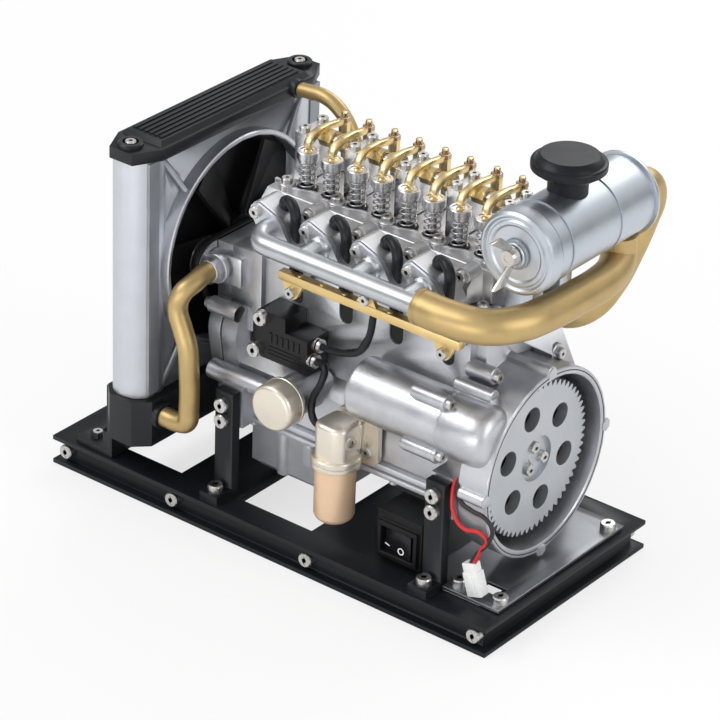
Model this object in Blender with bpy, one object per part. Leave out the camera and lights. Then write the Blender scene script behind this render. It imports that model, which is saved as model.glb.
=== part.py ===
"""Tabletop four-stroke, four-cylinder engine model on a base frame.

Metres, +Z up, X along the crankshaft towards the flywheel, +Y to the rear.
All sizes are written for a frame whose zero is the middle of the base's underside;
the assembly is then set so that the middle of its whole footprint is the origin.
"""
import math

import bmesh
import bpy
from mathutils import Matrix, Vector

# Fits
GAP = 0.0003          # running or resting gap between two pieces
SINK = 0.0008         # how far shapes of one piece run into each other
OVERRUN = 0.002       # how far a cutter runs past a face
SMOOTH_ANGLE = math.radians(35)

# Cap screws
SCREW_HEAD = 0.00275
SCREW_TALL = 0.0026
SMALL_HEAD = 0.0020
SMALL_TALL = 0.0020
SCREW_SIDES = 6

# Base frame
BASE_LENGTH = 0.200
BASE_WIDTH = 0.096
RAIL_TALL = 0.0115
RAIL_WIDE = 0.011
RAIL_LIP = 0.0017
RAIL_GROOVE = 0.0035
CROSS_THICK = 0.0025
CROSS_FRONT_SPAN = (-0.047, -0.019)
CROSS_MIDDLE_SPAN = (0.014, 0.066)
END_SCREW_IN = (0.0052, 0.0063)
FLANGE_SCREW_X = (END_SCREW_IN[0] - BASE_LENGTH / 2, -0.0432, 0.0193, BASE_LENGTH / 2 - END_SCREW_IN[1])

# Legs
LEG_WIDE = 0.0082
LEG_THICK = 0.0040
LEG_X = (-0.0262, 0.0685)
LEG_OUTER = 0.038
LEG_TOP = 0.0533
FOOT_DEEP = 0.0082
FOOT_TALL = 0.0030
LEG_SCREW_STEP = 0.0064
LEG_SCREW_DROP = 0.0048

# Deck plate
DECK_INSET = 0.0025
DECK_SPAN = (0.0625, BASE_LENGTH / 2 - DECK_INSET)
DECK_HALF = 0.0375
DECK_THICK = 0.0013
DECK_SCREWS = ((0.0768, -0.0325), (0.0945, -0.0325), (0.0945, 0.0318))
SLOT_X = (0.0835, 0.0915)
SLOT_Y = (-0.0300, -0.0245)

# Switch
SWITCH_X = 0.0517
SWITCH_FACE = -0.0365
BEZEL_WIDE = 0.0175
BEZEL_TALL = 0.0142
BEZEL_THICK = 0.0016
HOUSING_DEEP = 0.0150
HOUSING_OVER = 0.0035
ROCKER_KEY_WIDE = 0.0128
ROCKER_KEY_TALL = 0.0096
ROCKER_KEY_DEEP = 0.0042
ROCKER_KEY_ANGLE = math.radians(8)
KEY_CLEARANCE = 0.0006
SWITCH_WALL = 0.0012

# Radiator
RAD_RIGHT = -0.0520
RAD_WIDE = 0.0210
RAD_HALF = 0.0517
RAD_SHIFT = -0.0010
RAD_BASE = 0.0250
BOTTOM_TANK_TALL = 0.0183
COLUMN_TALL = 0.0937
COLUMN_WIDE = 0.0180
TOP_TANK_TALL = 0.0044
TANK_RAISE = 0.0018
TANK_LUG = 0.0105
TANK_RIB_COUNT = 6
TANK_RIB_TALL = 0.0006
TANK_RIB_WIDE = 0.0014
TANK_RIB_PITCH = 0.0024
CORE_WIDE = 0.0098
CORE_BACK = 0.0072
BRACKET_THICK = 0.0024
BRACKET_IN = 0.0052
BRACKET_HALF = RAD_HALF - BRACKET_IN
BRACKET_FOOT = 0.0150
FOOT_HALF = 0.0050
FOOT_IN = 0.0050
FOOT_Y = BRACKET_HALF - FOOT_IN
FOOT_SCREW_X = -0.0843
PORT_RADIUS = 0.0050
UPPER_PORT = (-0.0500, 0.0305, 0.1408)
UPPER_PORT_RADIUS = 0.0036
LOWER_PORT = (-0.0500, -0.0430, 0.0365)

# Fan, shroud and belt
FAN_Z = 0.0920
SHROUD_THICK = 0.0015
COLLAR_ROOM = 0.0127
COLLAR_RADIUS = RAD_HALF - COLLAR_ROOM
COLLAR_WALL = 0.0016
COLLAR_LONG = 0.0048
FAN_TIP_GAP = 0.0025
FAN_BLADES = 6
FAN_THICK = 0.0010
FAN_DEPTH = 0.0042
BLADE_ROOT = 0.0070
BLADE_TIP = 0.0150
RIB_RADIUS = 0.0011
HUB_RADIUS = 0.0090
HUB_LONG = 0.0050
BELT_X = -0.0480
BELT_WIDE = 0.0028
BELT_THICK = 0.0014
PULLEY_RADIUS = 0.0084
CRANK_PULLEY_RADIUS = 0.0092
GROOVE_DEEP = 0.0017
PULLEY_WIDE = 0.0046
PUMP_PULLEY_Y = -0.0210
PUMP_PULLEY_Z = 0.0920

# Cylinders and crank
CYL_FIRST = -0.0127
CYL_PITCH = 0.0223
CYL_COUNT = 4
BORE_RADIUS = 0.0082
PISTON_TALL = 0.0120
PISTON_FIT = 0.0004
STROKE = 0.0140
CRANK_Z = 0.0520
JOURNAL_RADIUS = 0.0040
PIN_RADIUS = 0.0034
PIN_LONG = 0.0070
WEB_THICK = 0.0026
WEB_RADIUS = 0.0044
CASE_RADIUS = 0.0150
CAM_Y = 0.0155
CAM_Z = 0.0680
CAM_RADIUS = 0.0030
LOBE_RADIUS = 0.0043
LOBE_LIFT = 0.0011
LOBE_LONG = 0.0030
CAM_TUNNEL = 0.0058
TIMING_MARGIN = 0.0003
COVER_WALL = 0.0020
CRANK_ROOM = 0.0110
COVER_BOLTS = ((0.0240, 0.0765), (-0.0130, 0.0390), (0.0130, 0.0390))
GEAR_ROOM = 0.0005
GEAR_TOOTH = 0.0014
MESH_GAP = 0.0004
PUMP_BODY_Y = (-0.0195, 0.0080)
PUMP_BODY_Z = (0.0720, 0.1005)
PUMP_INLET = (-0.0415, -0.0285, 0.0930)
INLET_RADIUS = 0.0033

# Block
BLOCK_LEFT = -0.0305
BLOCK_RIGHT = 0.0660
BLOCK_FRONT = -0.0180
BLOCK_REAR = 0.0230
DECK_Z = 0.1117
CASE_TOP = 0.0640
CASE_BOTTOM = 0.0370
CASE_HALF = 0.0240
CASE_CHAMFER = 0.0060
TIMING_FLANGE = 0.0075
CASE_END = 0.0035
SHOULDER_WIDE = 0.0060
SHOULDER_Y = (-0.0205, -0.0040)
SHOULDER_Z = (0.0700, 0.1015)
LEDGE_SPAN = (0.0650, 0.0830)
LEDGE_Y = (-0.0140, 0.0212)
LEDGE_Z = 0.1050
GALLERY_Y = 0.0280
GALLERY_Z = 0.0957
GALLERY_RADIUS = 0.0060
GALLERY_END = 0.0695
PAD_WIDE = 0.0100
PAD_TALL = 0.0150
SLOT_WIDE = 0.0060
SLOT_LONG = 0.0150
SLOT_LOW = 0.0865
SLOT_DEEP = 0.0022
SLOT_SHIFT = 0.0022
BELL_RADIUS = 0.0353
BELL_WALL = 0.0023
BELL_FACE = 0.0880
BELL_BACK = 0.0654
BELL_BACK_RADIUS = 0.0280
BELL_NECK = 0.0728
BELL_NECK_RADIUS = 0.0332
BELL_WIDE_FROM = 0.0762
BELL_FLOOR = 0.0745
BELL_BOSS_LONG = 0.0080
BELL_BOSSES = 4
BELL_BOSS_RADIUS = 0.0024
STARTER_Y = -0.0270
STARTER_Z = 0.0713
STARTER_RADIUS = 0.0112
STARTER_LEFT = 0.0275
STARTER_NOSE = 0.0865
NOSE_ROUND = 0.0070
EAR_RADIUS = 0.0024
EARS = ((0.0540, 0.0684, -0.0332, 0.0823), (0.0510, 0.0660, -0.0338, 0.0610))
STARTER_STEP = 0.0006
FILTER_BOSS_RADIUS = 0.0076

# Oil pan
PAN_TOP_THICK = 0.0030
PAN_HALF = 0.0215
SUMP_HALF = 0.0190
PAN_LEFT = -0.0286
SUMP_SPAN = (-0.0284, 0.0110)
SUMP_BOTTOM = 0.0140
PAN_CORNER = 0.0030
PAN_WALL = 0.0018

# Flywheel
FLY_FACE = 0.0836
FLY_THICK = 0.0042
TOOTH_COUNT = 60
FLY_TIP = 0.0292
TOOTH_DEEP = 0.0019
FLY_HOLES = 6
FLY_HOLE_RADIUS = 0.0046
FLY_HOLE_CIRCLE = 0.0176
FLY_PHASE = math.radians(-17)
FLY_RECESS = 0.0086
FLY_RECESS_DEEP = 0.0016
FLY_SCREW_CIRCLE = 0.0048
CRANK_FLANGE = 0.0070
PINION_TEETH = 8
PINION_X_LONG = 0.0040
PINION_SHAFT = 0.0016
PINION_STEM = 0.0100
PINION_ROOM = 0.0008

# Cylinder head
HEAD_LEFT = -0.0300
HEAD_RIGHT = 0.0690
HEAD_TALL = 0.0120
HEAD_REAR = 0.0220
HEAD_FRONT = -0.0175
HEAD_DECK_FRONT = -0.0115
HEAD_SHOULDER = 0.0060
PORT_FACE = -0.0210
PORT_HALF = 0.0068
PORT_Z = 0.1232
PORT_LOW = 0.0045
OUTLET = (-0.0230, 0.0300, 0.1230)
OUTLET_PAD = 0.0056
OUTLET_RADIUS = 0.0038
OUTLET_LOW = 0.0055
CHAMBER_TALL = 0.0035
CHAMBER_HALF_X = 0.0090
CHAMBER_Y = (-0.0078, 0.0060)
HEAD_SCREW_Y = -0.0082
HEAD_BOSS = 0.0022
HEAD_BOSS_TALL = 0.0022

# Valve gear
VALVE_SHIFT = 0.0054
VALVE_Y = -0.0040
STEM_RADIUS = 0.0008
GUIDE_RADIUS = 0.0013
VALVE_DISC = 0.0026
VALVE_DISC_TALL = 0.0009
RETAINER_TOP = 0.1395
RETAINER_TALL = 0.0040
RETAINER_RADIUS = 0.0040
SPRING_RADIUS = 0.0029
SPRING_WIRE = 0.0009
SPRING_CURLS = 4.5
SPRING_STEPS = 8
SHAFT_Y = 0.0060
SHAFT_Z = 0.1408
SHAFT_RADIUS = 0.0020
HUB_WALL = 0.0014
ROCKER_HUB_LONG = 0.0052
ROCKER_THICK = 0.0020
ROCKER_DEPTH = 0.0022
ROCKER_ARCH = 0.0044
ADJUSTER_Y = 0.0162
ADJUSTER_TOP = 0.1472
ADJUSTER_RADIUS = 0.0012
NUT_RADIUS = 0.0021
NUT_TALL = 0.0018
BOSS_RADIUS = 0.0021
PUSHROD_HOLE = 0.0018
PEDESTAL_WIDE = 0.0050
PEDESTAL_SPAN = (-0.0012, 0.0134)
PEDESTAL_TOP = 0.1430

# Inlet side
LOG_Y = -0.0410
LOG_Z = 0.1200
LOG_RADIUS = 0.0038
LOG_END = 0.0600
FLANGE_THICK = 0.0018
FLANGE_HALF = 0.0108
FLANGE_RADIUS = 0.0048
FLANGE_EAR = 0.0025
FLANGE_TILT = math.radians(14.5)
RUNNER_RADIUS = 0.0036
ELBOW_RADIUS = 0.0060
PIPE_RADIUS = 0.0063

# Air cleaner
CAN_X = 0.0880
CAN_Z = 0.1434
CAN_RADIUS = 0.0144
CAN_FRONT = -0.0265
CAN_LONG = 0.0645
CAN_LID = 0.0060
CAN_STEP = 0.0009
CAN_GROOVE = 0.0006
CAP_Y = 0.0020
CAP_NECK = 0.0070
CAP_RADIUS = 0.0131
CAP_TOP = 0.1702
CAP_TALL = 0.0072
WING_RADIUS = 0.0034
WING_LONG = 0.0030
WING_SPAN = 0.0085
WING_TALL = 0.0042
WING_THICK = 0.0014
WING_TURN = math.radians(-50)
STUD_LONG = 0.0010
CAN_POST_X = 0.0760
CAN_POST_Y = (-0.0055, 0.0172)
CAN_POST_WIDE = 0.0070
CAN_INLET = (0.0920, 0.0295, 0.1286)
CAN_NECK = 0.0070

# Fuel side
RAIL_BAR_Y = -0.0275
RAIL_BAR_Z = 0.1027
RAIL_BAR_HALF = 0.0017
RAIL_BAR_SPAN = (-0.0100, 0.0690)
TABS = ((-0.0039, 0.0978), (0.0288, 0.1066), (0.0626, 0.0980))
TAB_ROOT = 0.0050
TAB_THICK = 0.0016
TAB_RADIUS = 0.0027
LEAD_RADIUS = 0.0023
INJECTOR_SEAT = -0.0150
BOOT_RADIUS = 0.0029
STEM_WIDE = 0.0019
LEAD_ROUTE = ((0.0, -0.0185, 0.1262), (0.0006, -0.0187, 0.1288), (0.0040, -0.0218, 0.1308),
              (0.0082, -0.0272, 0.1291),
              (0.0100, -0.0274, 0.1235), (0.0102, -0.0274, 0.1170), (0.0098, -0.0262, 0.1115),
              (0.0075, -0.0225, 0.1065), (0.0045, -0.0207, 0.1030), (0.0030, -0.0206, 0.0990))
STUB_SHIFT = 0.0044
STUB_RADIUS = 0.0011
PUMP_OUTLINE = ((-0.0202, 0.0682), (0.0045, 0.0682), (0.0045, 0.0812), (-0.0056, 0.0812),
                (-0.0056, 0.0866),
                (-0.0180, 0.0866), (-0.0202, 0.0830))
PUMP_SCREWS = ((-0.0156, 0.0843), (-0.0182, 0.0708))
PUMP_FRONT = -0.0300
FITTING_RADIUS = 0.0024
FITTING_END = 0.0072
SMALL_HOSE = 0.0013
OIL_X = 0.0013
OIL_Z = 0.0600
OIL_FACE = -0.0462
OIL_RADIUS = 0.0088
OIL_LONG = 0.0085
FUEL_X = 0.0230
FUEL_Y = -0.0355
BOWL_RADIUS = 0.0074
BOWL_SPAN = (0.0200, 0.0420)
FUEL_RING = 0.0088
FUEL_RING_TALL = 0.0040
FUEL_HEAD_RADIUS = 0.0068
FUEL_HEAD_TOP = 0.0595
FUEL_FLANGE = 0.0090
FUEL_FLANGE_THICK = 0.0024

# Hoses and leads held at both ends
LOWER_HOSE = 0.0037
UPPER_HOSE = 0.0027
UPPER_ROUTE = ((-0.0497, 0.0305, 0.1408), (-0.0450, 0.0305, 0.1412), (-0.0390, 0.0305, 0.1414),
               (-0.0330, 0.0305, 0.1393),
               (-0.0278, 0.0305, 0.1345), (-0.0245, 0.0301, 0.1292), (-0.0231, 0.0300, 0.1260), (-0.0230,
                                                                                                 0.0300, 0.1246),
               (-0.0230, 0.0300, 0.1234))
LOWER_ROUTE = ((-0.0415, -0.0290, 0.0930), (-0.0415, -0.0315, 0.0930), (-0.0420, -0.0365, 0.0912),
               (-0.0438, -0.0408, 0.0880),
               (-0.0450, -0.0420, 0.0820), (-0.0422, -0.0425, 0.0750), (-0.0395, -0.0430,
                                                                        0.0690), (-0.0385, -0.0430,
                                                                                  0.0590),
               (-0.0384, -0.0430, 0.0440), (-0.0392, -0.0430, 0.0382), (-0.0430, -0.0430,
                                                                        0.0366), (-0.0497, -0.0430,
                                                                                  0.0365))
INTAKE_ROUTE = ((0.0603, -0.0410, 0.1200), (0.0740, -0.0410, 0.1200), (0.0855, -0.0380, 0.1200),
                (0.0925, -0.0290, 0.1200),
                (0.0953, -0.0170, 0.1200), (0.0962, -0.0010, 0.1200), (0.0960, 0.0150, 0.1200), (0.0945,
                                                                                                 0.0238, 0.1207),
                (0.0928, 0.0282, 0.1226), (0.0920, 0.0295, 0.1248), (0.0920, 0.0295, 0.1266), (0.0920,
                                                                                               0.0295, 0.1282))
REAR_ROUTE = ((0.0698, 0.0280, 0.0957), (0.0718, 0.0280, 0.0957), (0.0738, 0.0280, 0.0957),
              (0.0798, 0.0320, 0.0990), (0.0840, 0.0370, 0.1070),
              (0.0868, 0.0420, 0.1180), (0.0880, 0.0480, 0.1290), (0.0880, 0.0520, 0.1365), (0.0880,
                                                                                             0.0495, 0.1412),
              (0.0880, 0.0440, 0.1425), (0.0880, 0.0392, 0.1425))
SMALL_HOSE_ONE = ((0.0064, -0.0250, 0.0785), (0.0110, -0.0258, 0.0790), (0.0190, -0.0272, 0.0812),
                  (0.0262, -0.0280, 0.0850),
                  (0.0300, -0.0280, 0.0920), (0.0312, -0.0276, 0.1005))
SMALL_HOSE_TWO = ((0.0064, -0.0276, 0.0735), (0.0102, -0.0290, 0.0745), (0.0134, -0.0310, 0.0740),
                  (0.0134, -0.0330, 0.0695),
                  (0.0108, -0.0340, 0.0630), (0.0110, -0.0348, 0.0580), (0.0130, -0.0353,
                                                                         0.0550), (0.0158, -0.0355,
                                                                                   0.0543))
WIRE_RADIUS = 0.0008
BLACK_ROUTE = ((0.0750, -0.0362, 0.0634), (0.0750, -0.0366, 0.0560), (0.0780, -0.0370, 0.0485),
               (0.0860, -0.0380, 0.0465),
               (0.0920, -0.0380, 0.0425), (0.0915, -0.0370, 0.0360), (0.0875, -0.0360, 0.0305), (0.0845,
                                                                                                 -0.0352, 0.0255))
RED_ROUTE = ((0.0772, -0.0362, 0.0634), (0.0770, -0.0372, 0.0560), (0.0780, -0.0380, 0.0440),
             (0.0805, -0.0380, 0.0395),
             (0.0860, -0.0372, 0.0385), (0.0868, -0.0365, 0.0335), (0.0828, -0.0356, 0.0255))
PLUG_WIDE = 0.0062
PLUG_DEEP = 0.0044
PLUG_TALL = 0.0125
PLUG_TOP = (0.0832, -0.0354, 0.0262)
PLUG_LEAN = math.radians(18)

CYLINDERS = [CYL_FIRST + CYL_PITCH * k for k in range(CYL_COUNT)]
VALVES = [c + side * VALVE_SHIFT for c in CYLINDERS for side in (-1, 1)]
PEDESTALS = [CYL_FIRST + CYL_PITCH * (k - 0.5) for k in range(CYL_COUNT + 1)]
HEAD_BASE = DECK_Z + GAP
HEAD_DECK = HEAD_BASE + HEAD_TALL
CRANK_THROW = STROKE / 2
PISTON_TOP = DECK_Z - 0.1 * PISTON_TALL
TIMING_FACE = BLOCK_LEFT - TIMING_FLANGE
COVER_BACK = TIMING_FACE - GAP
COVER_FACE = BELT_X + PULLEY_WIDE / 2 + GAP
CAM_GEAR_REACH = math.hypot(CAM_Y, CAM_Z - CRANK_Z)
CRANK_GEAR = CAM_GEAR_REACH / 3 - MESH_GAP / 2
CAM_GEAR = CAM_GEAR_REACH * 2 / 3 - MESH_GAP / 2
PINION_X = FLY_FACE - FLY_THICK
PINION_TIP = math.hypot(STARTER_Y, STARTER_Z - CRANK_Z) - FLY_TIP - MESH_GAP


def clear_scene():
    for item in list(bpy.data.objects):
        bpy.data.objects.remove(item, do_unlink=True)


def finish(name, colour, roughness, metallic):
    """A Principled material, made once for each name."""
    if name in bpy.data.materials:
        return bpy.data.materials[name]
    made = bpy.data.materials.new(name)
    made.use_nodes = True
    shader = made.node_tree.nodes["Principled BSDF"]
    shader.inputs["Base Color"].default_value = (*colour, 1)
    shader.inputs["Roughness"].default_value = roughness
    shader.inputs["Metallic"].default_value = metallic
    made.diffuse_color = (*colour, 1)
    return made


def black():
    return finish("black_anodised", (0.02, 0.02, 0.023), 0.45, 0.6)


def cast():
    return finish("cast_aluminium", (0.62, 0.62, 0.64), 0.38, 1.0)


def steel():
    return finish("bright_steel", (0.72, 0.72, 0.73), 0.2, 1.0)


def brass():
    return finish("satin_brass", (0.72, 0.48, 0.18), 0.32, 1.0)


def rubber():
    return finish("black_rubber", (0.015, 0.015, 0.017), 0.5, 0.0)


def box(x, y, z):
    """A block between the two values of each axis."""
    made = bmesh.new()
    bmesh.ops.create_cube(made, size=1)
    for corner in made.verts:
        corner.co = Vector([span[0] if corner.co[i] < 0 else span[1] for i, span in enumerate((x, y, z))])
    return made


def about(centre, half):
    return (centre - half, centre + half)


def rod(start, end, radius, sides=16, end_radius=None):
    """A cylinder or cone between two points."""
    start, end = Vector(start), Vector(end)
    along = end - start
    made = bmesh.new()
    far = radius if end_radius is None else end_radius
    bmesh.ops.create_cone(made, cap_ends=True, segments=sides, radius1=radius, radius2=far,
                          depth=along.length)
    turn = along.to_track_quat("Z", "Y").to_matrix().to_4x4()
    made.transform(Matrix.Translation((start + end) / 2) @ turn)
    return made


def prism(outline, axis, span):
    """An outline in the plane square to axis, drawn out between two values along it."""
    order = {"X": (1, 2, 0), "Y": (0, 2, 1), "Z": (0, 1, 2)}[axis]
    made = bmesh.new()
    rings = []
    for level in span:
        ring = []
        for first, second in outline:
            point = [0, 0, 0]
            point[order[0]], point[order[1]], point[order[2]] = first, second, level
            ring.append(made.verts.new(point))
        rings.append(ring)
    close_rings(made, rings)
    return made


def close_rings(made, rings):
    """Skins matching rings of points into one closed body whose faces point out."""
    count = len(rings[0])
    for low, high in zip(rings, rings[1:]):
        for k in range(count):
            made.faces.new((low[k], low[(k + 1) % count], high[(k + 1) % count], high[k]))
    made.faces.new(rings[0])
    made.faces.new(rings[-1])
    bmesh.ops.recalc_face_normals(made, faces=made.faces)


def lathe(profile, start, axis, sides=24):
    """A turned piece: profile gives (distance along the axis, radius) from end to end."""
    start, axis = Vector(start), Vector(axis).normalized()
    side = axis.orthogonal().normalized()
    if abs(axis.z) < 0.5:
        side = axis.cross(Vector((0, 0, 1))).normalized()
    other = axis.cross(side)
    made = bmesh.new()
    rings = []
    for along, radius in profile:
        turns = [2 * math.pi * k / sides for k in range(sides)]
        ring = [start + axis * along + (side * math.cos(t) + other * math.sin(t)) * radius for t in turns]
        rings.append([made.verts.new(point) for point in ring])
    close_rings(made, rings)
    return made


def flowing(points, steps):
    """Points of a smooth curve that passes through the given ones."""
    points = [Vector(p) for p in points]
    ends = [points[0] * 2 - points[1]] + points + [points[-1] * 2 - points[-2]]
    made = []
    for a, b, c, d in zip(ends, ends[1:], ends[2:], ends[3:]):
        for k in range(steps):
            t = k / steps
            made.append(0.5 * (2 * b + (c - a) * t + (2 * a - 5 * b + 4 * c - d) * t ** 2
                               + (3 * b - a - 3 * c + d) * t ** 3))
    return made + [points[-1]]


def tube(path, radius, sides=8):
    """A round bar along a path, closed by flat ends."""
    path = [Vector(p) for p in path]
    made = bmesh.new()
    heading = (path[1] - path[0]).normalized()
    side = heading.orthogonal().normalized()
    rings = []
    for k, point in enumerate(path):
        before = (point - path[k - 1]).normalized() if k else heading
        after = (path[k + 1] - point).normalized() if k + 1 < len(path) else before
        heading = (before + after).normalized()
        side = (side - heading * side.dot(heading)).normalized()
        other = heading.cross(side)
        turns = [2 * math.pi * n / sides for n in range(sides)]
        rings.append([made.verts.new(point + (side * math.cos(t) + other * math.sin(t)) * radius)
                      for t in turns])
    close_rings(made, rings)
    return made


def ring_points(centre, radius, count, start=0):
    turns = [start + 2 * math.pi * k / count for k in range(count)]
    return [(centre[0] + radius * math.cos(t), centre[1] + radius * math.sin(t)) for t in turns]


def hull(points):
    """The convex outline round a set of flat points."""
    points = sorted(set(points))
    chains = []
    for run in (points, points[::-1]):
        chain = []
        for point in run:
            while len(chain) > 1 and turn_of(chain[-2], chain[-1], point) <= 0:
                chain.pop()
            chain.append(point)
        chains.append(chain[:-1])
    return chains[0] + chains[1]


def turn_of(a, b, c):
    return (b[0] - a[0]) * (c[1] - a[1]) - (b[1] - a[1]) * (c[0] - a[0])


def star(centre, tip, deep, teeth):
    """A toothed outline: plain pointed teeth that meet at their roots."""
    made = []
    for k in range(2 * teeth):
        angle = math.pi * k / teeth
        radius = tip - deep * (k % 2)
        made.append((centre[0] + radius * math.cos(angle), centre[1] + radius * math.sin(angle)))
    return made


def screw(point, axis, small=False):
    """A cap screw head standing on point and facing along axis."""
    radius, tall = (SMALL_HEAD, SMALL_TALL) if small else (SCREW_HEAD, SCREW_TALL)
    point, axis = Vector(point), Vector(axis)
    return rod(point - axis * SINK, point + axis * tall, radius, SCREW_SIDES)


def as_object(name, shapes):
    """One object whose mesh holds every shape given."""
    mesh = bpy.data.meshes.new(name)
    joined = bmesh.new()
    for shape in shapes:
        piece = bpy.data.meshes.new("piece")
        shape.to_mesh(piece)
        shape.free()
        joined.from_mesh(piece)
        bpy.data.meshes.remove(piece)
    joined.to_mesh(mesh)
    joined.free()
    made = bpy.data.objects.new(name, mesh)
    bpy.context.scene.collection.objects.link(made)
    return made


def combine(body, shapes, operation):
    """Runs shapes into a body or cuts them out of it."""
    tool = as_object(body.name + "_tool", shapes)
    step = body.modifiers.new(operation.lower(), "BOOLEAN")
    step.operation = operation
    step.solver = "EXACT"
    step.use_self = True
    step.object = tool
    graph = bpy.context.evaluated_depsgraph_get()
    old = body.data
    body.data = bpy.data.meshes.new_from_object(body.evaluated_get(graph))
    body.modifiers.clear()
    bpy.data.meshes.remove(old)
    bpy.data.objects.remove(tool, do_unlink=True)


def make(name, look, solids, cuts=(), pivot=(0, 0, 0), added=()):
    """One closed piece: the solids run together, less the cuts, plus what is added, its origin at pivot."""
    body = as_object(name, solids[:1])
    for shapes, operation in ((solids[1:], "UNION"), (cuts, "DIFFERENCE"), (added, "UNION")):
        if shapes:
            combine(body, shapes, operation)
    body.data.name = name
    body.data.materials.clear()
    body.data.materials.append(look)
    body.data.transform(Matrix.Translation(-Vector(pivot)))
    body.location = pivot
    body.data.shade_smooth()
    body.data.set_sharp_from_angle(angle=SMOOTH_ANGLE)
    return body


def leg_shapes(x, side):
    """A flat leg with a foot turned outwards, its foot screw and its two top screws."""
    inner = LEG_OUTER - LEG_THICK
    across = about(x, LEG_WIDE / 2)
    toe = LEG_OUTER + FOOT_DEEP
    shapes = [box(across, sorted((side * inner, side * LEG_OUTER)), (RAIL_TALL - SINK, LEG_TOP)),
              box(across, sorted((side * inner, side * toe)), (RAIL_TALL - SINK, RAIL_TALL + FOOT_TALL)),
              screw((x, side * (toe - FOOT_DEEP / 2), RAIL_TALL + FOOT_TALL), (0, 0, 1))]
    for k in (0, 1):
        level = LEG_TOP - LEG_SCREW_DROP - k * LEG_SCREW_STEP
        shapes.append(screw((x, side * LEG_OUTER, level), (0, side, 0)))
    return shapes


def base_frame():
    half_long, half_wide = BASE_LENGTH / 2, BASE_WIDTH / 2
    inner_long, inner_wide = half_long - RAIL_WIDE, half_wide - RAIL_WIDE
    shapes = [box((-half_long, half_long), (-half_wide, half_wide), (0, RAIL_TALL))]
    hollow = box((-inner_long, inner_long), (-inner_wide, inner_wide), (-OVERRUN, RAIL_TALL + OVERRUN))
    lip = (RAIL_LIP, RAIL_TALL - RAIL_LIP)
    floor_long, floor_wide = half_long - RAIL_GROOVE, half_wide - RAIL_GROOVE
    cuts = [hollow]
    for side in (-1, 1):
        edge = sorted((side * floor_wide, side * (half_wide + OVERRUN)))
        cuts.append(box((-half_long - OVERRUN, half_long + OVERRUN), edge, lip))
        edge = sorted((side * floor_long, side * (half_long + OVERRUN)))
        cuts.append(box(edge, (-half_wide - OVERRUN, half_wide + OVERRUN), lip))
    added = []
    for span in (CROSS_FRONT_SPAN, CROSS_MIDDLE_SPAN):
        added.append(box(span, about(0, inner_wide + SINK), (RAIL_TALL - CROSS_THICK,
                                                             RAIL_TALL - SINK / 2)))
    for side in (-1, 1):
        for x in LEG_X:
            added += leg_shapes(x, side)
        for x in FLANGE_SCREW_X:
            added.append(screw((x, side * floor_wide, RAIL_TALL / 2), (0, side, 0)))
    make("base_frame", black(), shapes, cuts, added=added)


def deck_plate():
    low = RAIL_TALL + GAP
    shapes = [box(DECK_SPAN, about(0, DECK_HALF), (low, low + DECK_THICK))]
    shapes += [screw((x, y, low + DECK_THICK), (0, 0, 1)) for x, y in DECK_SCREWS]
    leg_room = LEG_THICK + FOOT_DEEP
    cuts = [box(SLOT_X, SLOT_Y, (low - OVERRUN, low + DECK_THICK + OVERRUN))]
    for side in (-1, 1):
        notch = sorted((side * (LEG_OUTER - LEG_THICK - GAP), side * (LEG_OUTER + leg_room)))
        cuts.append(box(about(LEG_X[1], LEG_WIDE / 2 + GAP), notch, (low - OVERRUN,
                                                                     low + DECK_THICK + OVERRUN)))
    grey = finish("brushed_plate", (0.36, 0.37, 0.39), 0.4, 1.0)
    make("deck_plate", grey, shapes, cuts)


def switch_parts():
    """The switch box with its bezel, and the rocker key that swings about an upright pin."""
    low = RAIL_TALL + GAP
    middle = low + HOUSING_OVER / 2 + BEZEL_TALL / 2
    back = SWITCH_FACE + BEZEL_THICK
    tall = (middle - BEZEL_TALL / 2, middle + BEZEL_TALL / 2)
    shapes = [box(about(SWITCH_X, BEZEL_WIDE / 2), (SWITCH_FACE, back + SINK), tall),
              box(about(SWITCH_X, BEZEL_WIDE / 2 + SWITCH_WALL), (back, back + HOUSING_DEEP),
                  (low, middle + BEZEL_TALL / 2 + HOUSING_OVER))]
    room = ROCKER_KEY_DEEP + 2 * KEY_CLEARANCE
    opening = (about(SWITCH_X, ROCKER_KEY_WIDE / 2 + KEY_CLEARANCE),
               (SWITCH_FACE - OVERRUN, SWITCH_FACE + room), about(middle, ROCKER_KEY_TALL / 2 + GAP))
    plastic = finish("black_plastic", (0.018, 0.018, 0.02), 0.5, 0.0)
    make("switch_body", plastic, shapes, [box(*opening)])
    pin = SWITCH_FACE + ROCKER_KEY_DEEP / 2
    reach = ROCKER_KEY_WIDE / 2
    rise = reach * math.tan(ROCKER_KEY_ANGLE)
    outline = [(-reach, -rise), (0, -rise / 2), (reach, -rise), (reach / 2, ROCKER_KEY_DEEP / 2),
               (-reach / 2, ROCKER_KEY_DEEP / 2)]
    key = prism(outline, "Z", about(0, ROCKER_KEY_TALL / 2))
    key.transform(Matrix.Rotation(-ROCKER_KEY_ANGLE, 4, "Z"))
    key.transform(Matrix.Translation((SWITCH_X, pin, middle)))
    make("switch_rocker", plastic, [key], pivot=(SWITCH_X, pin, middle))


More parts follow.
